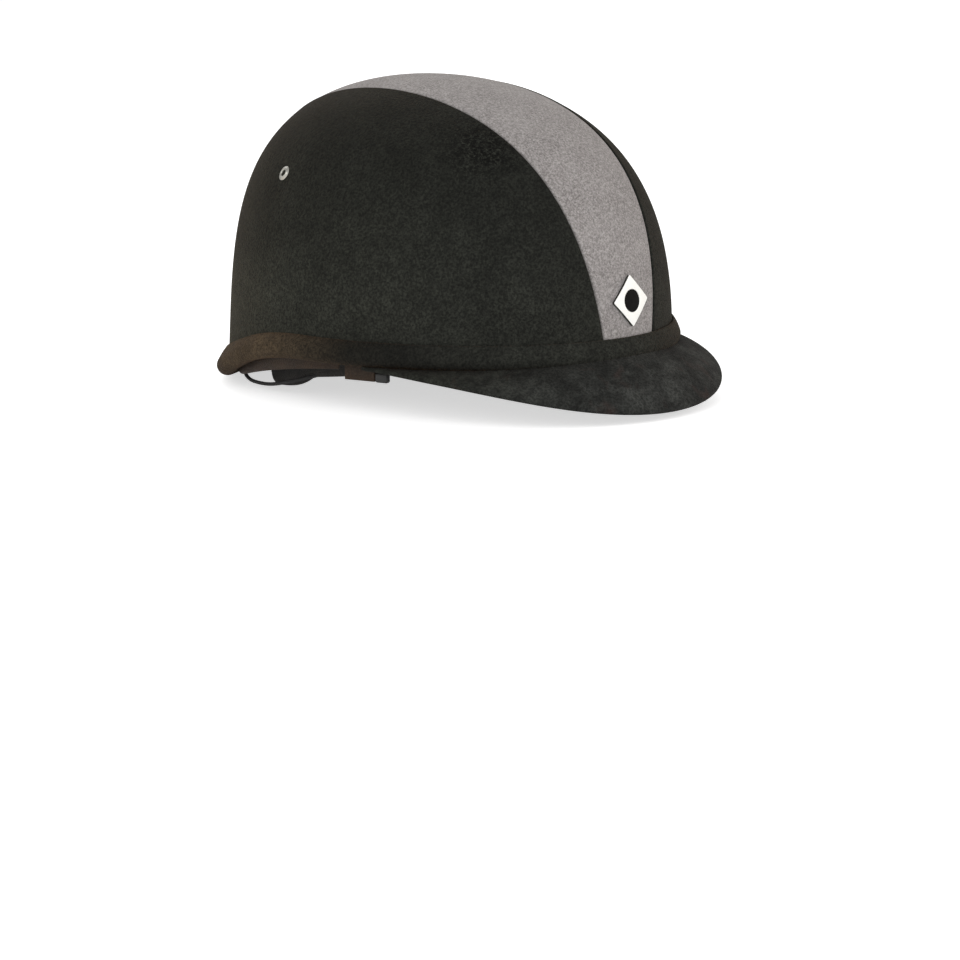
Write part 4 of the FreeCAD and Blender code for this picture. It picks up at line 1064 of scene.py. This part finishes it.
def make_side_strap(row, side):
    """Webbing from its rounded end at the hinge up to the divider."""
    root = ROOTS[row]
    middle = DIVIDER_Y + math.copysign(WEB_HALF + 1, root)
    spots, thick = [], []
    for turn in np.radians((12, 35, 60)):
        spots.append((-HINGE_X, root, HINGE_Z - WEB_THICK / 2 * math.cos(turn)))
        thick.append(WEB_THICK * math.sin(turn))
    for share in np.linspace(0, 1, 24):
        spots.append((-HINGE_X, root + (middle - root) * share,
                      HINGE_Z + (DIVIDER_TOP - HINGE_Z) * share))
        thick.append(WEB_THICK)
    halves = [(0, WEB_HALF, 0)] * len(spots)
    return ribbon(f"{row}_strap_webbing_{END[side]}", twin(spots, side), twin(halves, side),
                  thick)


def make_chin_strap(side):
    """Tail of the webbing and its loop round the divider's bar, sewn back on the tail."""
    spots = [(-HINGE_X + BAR_LOOP, DIVIDER_Y, z) for z in np.linspace(CHIN_LOW, BAR_LEVEL, 16)]
    for turn in np.radians(np.arange(12, 301, 12)):
        spots.append((-HINGE_X + BAR_LOOP * math.cos(turn), DIVIDER_Y,
                      BAR_LEVEL + BAR_LOOP * math.sin(turn)))
    return ribbon("chin_webbing_" + END[side], twin(spots, side),
                  [(0, WEB_HALF, 0)] * len(spots), WEB_THICK)


def leather(name, angles, low, high, inset, thick, material, side):
    """Leather strip on the wall between two edge lines, its edges and ends rounded."""
    sections = []
    for i, angle in enumerate(angles):
        shrink = min(1.0, 0.35 + 0.33 * min(i, len(angles) - 1 - i))
        y = float(wall(angle, inset, 0.0)[1])
        z0, z1 = low(y), high(y)
        half, middle = thick / 2 * shrink, inset + thick / 2
        rise = min(thick / 2, (z1 - z0) / 2 - 0.01)
        tall = z1 - z0 - 2 * rise
        outline = [(middle + half * math.cos(turn), z1 - rise + rise * math.sin(turn))
                   for turn in np.radians(np.arange(180, -1, -30))]
        outline += [(middle + half, z1 - rise - tall * k / 6) for k in range(1, 6)]
        outline += [(middle + half * math.cos(turn), z0 + rise + rise * math.sin(turn))
                    for turn in np.radians(np.arange(0, -181, -30))]
        outline += [(middle - half, z0 + rise + tall * k / 6) for k in range(1, 6)]
        sections.append([wall(angle, depth, z) for depth, z in outline])
    return new_piece(name, *tube(twin(sections, side)), material)


def carve(piece, cutters):
    """Take closed meshes out of a piece."""
    for cutter in cutters:
        step = piece.modifiers.new("carve", "BOOLEAN")
        step.operation, step.solver, step.object = "DIFFERENCE", "EXACT", cutter
    bake(piece)
    for cutter in cutters:
        bpy.data.objects.remove(cutter)


def plain_mesh(piece):
    """A new mesh of the piece as its modifiers and curves leave it."""
    graph = bpy.context.evaluated_depsgraph_get()
    return bpy.data.meshes.new_from_object(piece.evaluated_get(graph))


def bake(piece):
    """Give the piece the plain mesh that its modifiers leave."""
    mesh = plain_mesh(piece)
    piece.modifiers.clear()
    piece.data = mesh


def rounded_block(name, low, high, radius, material, place=None):
    """Box between two corners with rounded edges; place maps its points to the frame."""
    work = bmesh.new()
    bmesh.ops.create_cube(work, size=1.0)
    low, high = np.array(low, float), np.array(high, float)
    for vert in work.verts:
        vert.co = (low + high) / 2 + np.array(vert.co[:]) * (high - low)
    bmesh.ops.bevel(work, geom=work.edges[:], offset=radius, segments=4, profile=0.5,
                    affect="EDGES")
    points = np.array([vert.co[:] for vert in work.verts])
    faces = [[vert.index for vert in face.verts] for face in work.faces]
    work.free()
    return new_piece(name, place(points) if place else points, faces, material)


def lace_holes(side):
    """Middles of the lace holes on the wing's inner face, and the wall's outward normal."""
    face, pitch = WING_INSET + WING_THICK, WING_HEIGHT / 3.5
    low = wing_bottom(float(wall(HOLE_ANGLE, face, 0.0)[1]))
    spots = [wall(HOLE_ANGLE, face, low + pitch * (i + 0.75)) for i in range(3)]
    return twin(spots, side), twin(wall_normal(HOLE_ANGLE, face), side)


def wing_bottom(y):
    """Height of the wing's straight lower line at y."""
    return WING_LOW - WING_SLOPE * y


def wing_low(y):
    """Height of the wing's lower edge, which bellies down behind the ear."""
    belly, lowest = 4.9, 58
    run = ((lowest - y) / 36) ** 4 if y < lowest else ((y - lowest) / 21) ** 2.2
    return wing_bottom(y) - belly * max(0.0, 1 - run)


def wing_high(y):
    """Height of the wing's upper edge."""
    return wing_bottom(y) + WING_HEIGHT


def make_wing(side):
    """Leather wing with a slot for the rear anchor's webbing and its three lace holes."""
    piece = leather("nape_wing_hide_" + END[side], np.linspace(86, 173, 150), wing_low,
                    wing_high, WING_INSET, WING_THICK, HIDE, side)
    room, slant = 0.4, 4.2
    corners = twin(((-120, REAR_ROOT - WEB_HALF - room - slant, HINGE_Z - WEB_THICK / 2 - room),
                    (0, REAR_ROOT + WEB_HALF + room, HINGE_Z + WEB_THICK / 2 + room)), side)
    cutters = [rounded_block("slot", corners.min(0), corners.max(0), 0.3, HIDE)]
    spots, normal = lace_holes(side)
    for spot in spots:
        drill = [(0.01, -6), (HOLE_RADIUS, -6), (HOLE_RADIUS, 6), (0.01, 6)]
        cutters.append(new_piece("hole", *turned(drill, spot, normal, 24), HIDE))
    carve(piece, cutters)
    return piece


def make_rim_strip(side):
    """Thin leather strip under the band from the ear to the rear, its lower edge drawn up."""
    def low(y):
        return float(line_height(STRIP, y)) + 2.6 * max(0.0, (y - 72) / 18) ** 2

    def high(y):
        return float(line_height(RIM, y)) + LINER_EDGE_LIFT - 0.1

    return leather("rim_strip_hide_" + END[side], np.linspace(83, 143.5, 110), low, high, 5.05,
                   0.8, STRIP_HIDE, side)


def make_front_tab(side):
    """Leather sleeve round the front anchor, open for its webbing, and the moulded end by it."""
    spot, normal = anchor_place(FRONT_ROOT)
    edge = np.array((-normal[1], normal[0], 0.0))

    def place(points):
        """From (outwards, rearwards, up) at the anchor to the frame."""
        return twin(spot + points @ np.array((normal, edge, (0, 0, 1))), side)

    name, room = "front_tab_hide_" + END[side], 0.1
    half = WEB_HALF + room
    low, high = HINGE_Z - WEB_THICK / 2 - room, HINGE_Z + WEB_THICK / 2 + room
    sleeve = rounded_block(name, (-TAB_DEPTH, -TAB_HALF, TAB_LOW), (TAB_PROUD, TAB_HALF, TAB_HIGH),
                           0.4, STRIP_HIDE, place)
    hanging = rounded_block("leg", (-WEB_THICK - 0.05, -half, low), (0.05, half, 9), 0.02,
                            STRIP_HIDE, place)
    level = rounded_block("run", (-9, -half, low), (-1.0, half, high), 0.02, STRIP_HIDE, place)
    carve(sleeve, [hanging, level])
    end = rounded_block(name + "_end", (-3.0, TAB_HALF + 0.3, -8.0), (0.8, TAB_HALF + 7.9, -2.8),
                        1.2, PLASTIC, place)
    return sleeve, end


def make_lacing():
    """Lace drawn across the nape from hole to hole, its crossings one over the other."""
    (right, out_right), (left, out_left) = lace_holes(-1), lace_holes(1)
    inward = -(out_right + out_left) / 2
    lines = []
    for i, j, lift in ((0, 0, 0.0), (0, 1, 0.9), (1, 0, -0.5), (1, 2, -0.5), (2, 1, 0.9)):
        start, end = right[i], left[j]
        steps = [start + out_right * out for out in (1.6, -1.2, -1.9)]
        for share in (0.08, 0.2, 0.35, 0.5, 0.65, 0.8, 0.92):
            bow = math.exp(-((share - 0.5) / 0.22) ** 2) * lift
            steps.append(start + (end - start) * share + inward * (1.7 + bow))
        steps += [end + out_left * out for out in (-1.9, -1.2, 1.6)]
        lines.append(line_through(steps))
    return rod("nape_lacing_cord", lines, 0.98, LACE)


# angle round the wall, inset from it and height of each point of the free lace
LACE_ROUTE = ((140.5, 7.0, -12.5), (140.0, 8.2, -19.4), (136.2, 10.6, -23.0),
              (128.6, 13.4, -22.7), (120.6, 16.4, -21.6), (113.0, 19.4, -18.4),
              (106.5, 21.3, -15.4), (100.6, 24.2, -12.0))


def make_loose_lace():
    """The free lace as a curve on its route's points; returns it and its first point."""
    route = [wall(*spot) * MM for spot in LACE_ROUTE]
    lace = drawn_curve("nape_lace_cord", route)
    curve = lace.data
    curve.resolution_u = 16
    curve.bevel_depth = 0.001
    curve.bevel_resolution = 4
    curve.use_fill_caps = True
    curve.materials.append(CORD)
    return lace, route[0]


# ---- stitches, by Geometry Nodes ----------------------------------------------------------------
STITCH_SIZES = {"Spacing": 0.0030, "Stitch Length": 0.0021, "Thread Radius": 0.00023,
                "Unevenness": 0.14}


def stitch_tree():
    """Nodes that lay small round-ended threads along every line of edges they are given."""
    tree = bpy.data.node_groups.new("stitch_row", "GeometryNodeTree")
    face = tree.interface
    face.new_socket("Geometry", in_out="INPUT", socket_type="NodeSocketGeometry")
    for name, value in STITCH_SIZES.items():
        face.new_socket(name, in_out="INPUT", socket_type="NodeSocketFloat").default_value = value
    face.new_socket("Seed", in_out="INPUT", socket_type="NodeSocketInt").default_value = 7
    face.new_socket("Thread", in_out="INPUT", socket_type="NodeSocketMaterial")
    face.new_socket("Geometry", in_out="OUTPUT", socket_type="NodeSocketGeometry")

    def add(kind, sockets=None, **settings):
        """A new node's outputs: its settings first, then a value or a link for each socket."""
        made = tree.nodes.new(kind)
        for key, value in settings.items():
            setattr(made, key, value)
        for key, value in (sockets or {}).items():
            if isinstance(value, bpy.types.NodeSocket):
                tree.links.new(value, made.inputs[key])
            else:
                made.inputs[key].default_value = value
        return made.outputs

    given = add("NodeGroupInput")
    line = add("GeometryNodeMeshToCurve", {"Mesh": given["Geometry"]})
    even = add("GeometryNodeResampleCurve",
               {"Curve": line["Curve"], "Length": given["Spacing"]}, mode="LENGTH")
    ball = add("GeometryNodeMeshUVSphere", {"Segments": 8, "Rings": 6, "Radius": 1.0})
    half = add("ShaderNodeMath", {0: given["Stitch Length"], 1: 0.5}, operation="MULTIPLY")
    size = add("ShaderNodeCombineXYZ", {"X": given["Thread Radius"], "Y": given["Thread Radius"],
                                        "Z": half["Value"]})
    stitch = add("GeometryNodeTransform", {"Geometry": ball["Mesh"], "Scale": size["Vector"]})
    ahead = add("GeometryNodeInputTangent")
    aim = add("FunctionNodeAlignRotationToVector", {"Vector": ahead["Tangent"]}, axis="Z")
    least = add("ShaderNodeMath", {0: 1.0, 1: given["Unevenness"]}, operation="SUBTRACT")
    # its plain numbers are the inputs 2 and 3 and the output 1, beside those for vectors
    uneven = add("FunctionNodeRandomValue", {2: least["Value"], 3: 1.0, "Seed": given["Seed"]},
                 data_type="FLOAT")
    row = add("GeometryNodeInstanceOnPoints",
              {"Points": even["Curve"], "Instance": stitch["Geometry"],
               "Rotation": aim["Rotation"], "Scale": uneven[1]})
    real = add("GeometryNodeRealizeInstances", {"Geometry": row["Instances"]})
    painted = add("GeometryNodeSetMaterial",
                  {"Geometry": real["Geometry"], "Material": given["Thread"]})
    smooth = add("GeometryNodeSetShadeSmooth", {"Geometry": painted["Geometry"]})
    add("NodeGroupOutput", {"Geometry": smooth["Geometry"]})
    return tree


STITCHES = stitch_tree()


def stitched(name, lines):
    """A row of stitches along each line of points, as one plain mesh."""
    mesh = bpy.data.meshes.new(name)
    points, edges = [], []
    for line in lines:
        start = len(points)
        points += [tuple(spot) for spot in np.asarray(line, float) * MM]
        edges += [(start + i, start + i + 1) for i in range(len(line) - 1)]
    mesh.from_pydata(points, edges, [])
    piece = placed(name, mesh)
    step = piece.modifiers.new("stitches", "NODES")
    step.node_group = STITCHES
    wanted = {**STITCH_SIZES, "Thread": THREAD}
    for item in STITCHES.interface.items_tree:
        if item.name in wanted:
            step[item.identifier] = wanted[item.name]
    bake(piece)
    return piece


def wall_line(angles, inset, height, side):
    """Points along the wall at a height that height(y) gives."""
    return twin([wall(angle, inset, height(float(wall(angle, inset, 0.0)[1])))
                 for angle in angles], side)


def wing_stitch_lines(side):
    """Lines sewn on the wing's two faces, along its upper and lower edges."""
    margin, sink = 2.4, 0.04
    lines = []
    for inset in (WING_INSET - sink, WING_INSET + WING_THICK + sink):
        lines.append(wall_line(np.linspace(88, 171, 140), inset,
                               lambda y: wing_high(y) - margin, side))
        lines.append(wall_line(np.linspace(98, 160, 120), inset,
                               lambda y: wing_low(y) + margin, side))
    return lines


def make_chin_stitches(side):
    """Two rows sewn through the loop of the chin strap, on both its faces."""
    off, rows, reach = 0.84, (53.5, 57.5), 6.4
    lines = []
    for face in (-off, off):
        for z in rows:
            lines.append(twin([(-HINGE_X + BAR_LOOP + face, DIVIDER_Y + y, z)
                               for y in np.linspace(-reach, reach, 12)], side))
    return stitched("chin_stitches_" + END[side], lines)


# ---- comfort pads -------------------------------------------------------------------------------
INSET_PAD = COVER + SHELL + LINER + HARNESS_SLOT
# in metres: the remesh's cell, how far the pad shrinks before it swells, and how far it swells
PAD_CELL, PAD_SHRINK, PAD_SWELL = 0.0020, 0.0005, 0.0009


def spots_of(mesh):
    """Places of the mesh's points, in metres."""
    values = np.empty(len(mesh.vertices) * 3)
    mesh.vertices.foreach_get("co", values)
    return values.reshape(-1, 3)


def normals_of(mesh):
    """Outward normals at the mesh's points."""
    values = np.empty(len(mesh.vertices) * 3)
    mesh.vertex_normals.foreach_get("vector", values)
    return values.reshape(-1, 3)


def move_to(mesh, points):
    """Move the mesh's points to these places."""
    mesh.vertices.foreach_set("co", np.asarray(points).ravel())
    mesh.update()


def inflate(piece):
    """Blow the piece up as cloth, and keep every point within PAD_SWELL of its place."""
    rest = spots_of(piece.data)
    cloth = piece.modifiers.new("cloth", "CLOTH")
    cloth.settings.quality = 5
    cloth.settings.use_pressure = True
    cloth.settings.uniform_pressure_force = 4.0
    cloth.settings.effector_weights.gravity = 0.0
    cloth.point_cache.frame_start, cloth.point_cache.frame_end = 1, 20
    for frame_number in range(1, 21):
        bpy.context.scene.frame_set(frame_number)
    bake(piece)
    bpy.context.scene.frame_set(1)
    moved = spots_of(piece.data) - rest
    far = np.linalg.norm(moved, axis=1, keepdims=True)
    move_to(piece.data, rest + moved * np.minimum(1, PAD_SWELL / np.maximum(far, 1e-9)))


def make_pad(node, channel):
    """Padded piece from its plain solid: remeshed, inflated, then given its sewn channels."""
    mesh = nodes[node].data.copy()
    mesh.transform(nodes[node].matrix_world)
    piece = placed(node + "_knit", mesh)
    grid = piece.modifiers.new("grid", "REMESH")
    grid.mode, grid.voxel_size = "VOXEL", PAD_CELL
    bake(piece)
    move_to(piece.data, spots_of(piece.data) - normals_of(piece.data) * PAD_SHRINK)
    inflate(piece)
    finer = piece.modifiers.new("finer", "SUBSURF")
    finer.levels = finer.render_levels = 1
    bake(piece)
    mesh = piece.data
    spots, normals = spots_of(mesh) / MM, normals_of(mesh)
    move_to(mesh, (spots - normals * channel(spots, normals)[:, None]) * MM)
    for face in mesh.polygons:
        face.use_smooth = True
    mesh.materials.clear()
    mesh.materials.append(KNIT)
    return piece


def facing_in(spots, normals):
    """1 on the side that faces the head, 0 on the side that faces the foam."""
    out = normal_at(spots, INSET_PAD)
    return np.clip(-np.sum(out * normals, axis=1) * 2 - 0.4, 0, 1)


def wall_angle(spots):
    """Degrees round the wall from the front, by the wearer's right."""
    return np.degrees(np.arctan2(-spots[:, 0] / (HALF_WIDTH - INSET_PAD),
                                 -spots[:, 1] / (HALF_LENGTH - INSET_PAD))) % 360


def ring_channels(angles):
    """Depth of channels sewn across a ring pad at these angles round the wall."""
    deepest, width, mm_a_degree = 1.1, 1.5, 1.8

    def depth(spots, normals):
        theta = wall_angle(spots)
        total = np.zeros(len(spots))
        for angle in angles:
            apart = (theta - angle + 180) % 360 - 180
            total = np.maximum(total, np.exp(-(apart * mm_a_degree / width) ** 2))
        return deepest * total * facing_in(spots, normals)

    return depth


def crown_channels(spots, normals):
    """Depth of the crown pad's sewn ring, and of the lines from it to the pad's ends."""
    ring_share, mean_half = 0.62, 42
    deepest, ring_width, line_width = 1.2, 1.6, 1.5
    far = np.hypot(spots[:, 0] / CROWN_HALF_WIDTH,
                   (spots[:, 1] - CROWN_MIDDLE) / CROWN_HALF_LENGTH)
    total = np.exp(-((far - ring_share) * mean_half / ring_width) ** 2)
    total = np.maximum(total, np.exp(-(spots[:, 0] / line_width) ** 2) * (far > ring_share))
    return deepest * total * np.clip(-normals[:, 2] * 2 - 0.4, 0, 1)


# ---- the pieces, the nodes they stand for and the bodies they ride ----------------------------
def stands_for(piece, node, body="helmet"):
    """The piece takes the node's place and rides its body."""
    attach(piece, body)
    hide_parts(node)


def sewn_on(stitches, body):
    """The stitches ride a body, and stand for no node."""
    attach(stitches, body)


def on_both_sides(make, node, body=None):
    """The right piece and then the left; they ride the helmet, or their own side's body."""
    for side, end in END.items():
        stands_for(make(side), f"{node}_{end}", f"{body}_{end}" if body else "helmet")


on_both_sides(make_side_cover, "side_cover")
stands_for(make_centre_cloth(), "centre_panel")
stands_for(make_band(), "rim_band")
peak_top, peak_under = make_peak_covers()
stands_for(peak_top, "peak_top_cover")
stands_for(peak_under, "peak_under_cover")
badge, dot = make_badge()
stands_for(badge, "badge_plate")
stands_for(dot, "badge_inlay")
on_both_sides(make_vent, "vent_eyelet")
for row in ROOTS:
    for side, end in END.items():
        stands_for(make_anchor(row, side), f"{row}_anchor_{end}")
for row in ROOTS:
    for side, end in END.items():
        stands_for(make_side_strap(row, side), f"{row}_strap_{end}", "strap_" + end)
on_both_sides(make_chin_strap, "chin_strap", "chin")
on_both_sides(make_rim_strip, "rim_strip")
for side, end in END.items():
    sleeve, tab_end = make_front_tab(side)
    stands_for(sleeve, "front_tab_" + end)
    stands_for(tab_end, "front_tab_end_" + end)
on_both_sides(make_wing, "nape_wing")
sewn_on(stitched("harness_stitches", wing_stitch_lines(-1) + wing_stitch_lines(1)), "helmet")
for side, end in END.items():
    sewn_on(make_chin_stitches(side), "chin_" + end)
stands_for(make_lacing(), "nape_lacing")
loose_lace, lace_start = make_loose_lace()
stands_for(loose_lace, "nape_lace")
for name, channel in (("front_pad", ring_channels((-44, -22, 0, 22, 44))),
                      ("rear_pad", ring_channels((146, 163, 180, 197, 214))),
                      ("crown_pad", crown_channels)):
    pad = make_pad(name, channel)
    stands_for(pad, name, name)

CARRIED = {
    PLASTIC: ("outer_shell", "rim_bead", "peak_core", "strap_divider_right",
              "strap_divider_left", "buckle_socket", "buckle_clip", "buckle_prong_front",
              "buckle_prong_rear", "strap_slider"),
    FOAM: ("impact_liner",),
    DARK_STEEL: ("vent_washer_right", "vent_washer_left", "strap_rivets", "strap_rivet_washers"),
    HOOKS: ("front_pad_patches", "rear_pad_patches", "crown_pad_patches"),
    EYELET: ("badge_pins", "nape_lace_eyelets"),
}
for material, names in CARRIED.items():
    for name in names:
        nodes[name].data.materials.clear()
        nodes[name].data.materials.append(material)


# ---- floor, light and camera --------------------------------------------------------------------
def lay_floor():
    """Pale floor under the helmet, white to the camera and seen only from above."""
    half, low = 60, min(cad_box[0][2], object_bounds()[0][2])
    mesh = bpy.data.meshes.new("floor")
    mesh.from_pydata([(-half, -half, low), (half, -half, low), (half, half, low),
                      (-half, half, low)], [], [(0, 1, 2, 3)])
    cover = Paint("floor", Base_Color=colour(238, 238, 238), Roughness=0.9,
                  Emission_Strength=1.0)
    seen = cover.node("ShaderNodeLightPath")["Is Camera Ray"]
    cover.set("Alpha", 1.0 - cover.node("ShaderNodeNewGeometry")["Backfacing"])
    cover.set("Emission Color", cover.mix(seen, colour(110, 110, 110), colour(205, 205, 205)))
    mesh.materials.append(cover.material)
    placed("floor", mesh)


def soft_light(name, power, width, spot, tint=(1, 1, 1)):
    """Square lamp of this width at spot, in metres, aimed at the helmet."""
    lamp = bpy.data.lights.new(name, "AREA")
    lamp.energy, lamp.size, lamp.color = power, width, tint
    holder = placed(name, lamp)
    holder.location = spot
    aim = Vector((0, 0, 0.05)) - Vector(spot)
    holder.rotation_euler = aim.to_track_quat("-Z", "Y").to_euler()


def hang_backdrop():
    """World that is white to the camera and gives the helmet a softer light."""
    to_helmet, more_to_camera = 0.45, 0.55
    world = bpy.data.worlds.new("studio")
    world.use_nodes = True
    links, makers = world.node_tree.links, world.node_tree.nodes
    background = makers["Background"]
    background.inputs["Color"].default_value = (1, 1, 1, 1)
    seen = makers.new("ShaderNodeLightPath").outputs["Is Camera Ray"]
    strength = makers.new("ShaderNodeMath")
    strength.operation = "MULTIPLY_ADD"
    strength.inputs[1].default_value = more_to_camera
    strength.inputs[2].default_value = to_helmet
    links.new(seen, strength.inputs[0])
    links.new(strength.outputs[0], background.inputs["Strength"])
    bpy.context.scene.world = world


def place_camera():
    """Camera on the wearer's right, ahead of the helmet and a little above it."""
    spot, forward, lean = (-1.6858, -1.5205, 0.3548), (0.73418, 0.65259, -0.18736), -0.243
    lens = bpy.data.cameras.new("camera")
    lens.lens, lens.sensor_width = 159.17, 36.0
    camera = placed("camera", lens)
    forward = Vector(forward).normalized()
    right = forward.cross(Vector((0, 0, 1))).normalized()
    up = right.cross(forward)
    turn = Matrix((right, up, -forward)).transposed().to_4x4()
    roll = Matrix.Rotation(math.radians(lean), 4, "Z")
    camera.matrix_world = Matrix.Translation(spot) @ turn @ roll
    bpy.context.scene.camera = camera


lay_floor()
soft_light("key", 22, 1.8, (-1.7, -1.0, 1.15))
soft_light("fill", 12, 2.0, (0.6, -1.8, 0.9))
soft_light("side", 12, 2.0, (-1.9, 0.8, 0.8))
soft_light("back", 12, 1.6, (1.0, 1.6, 1.3))
soft_light("far", 5, 1.2, (1.8, -1.2, 0.5), (1, 0.78, 0.6))
soft_light("low", 3, 1.0, (-1.3, 1.5, 0.1), (1, 0.8, 0.62))
hang_backdrop()
place_camera()
bpy.context.scene.view_settings.view_transform = "Standard"
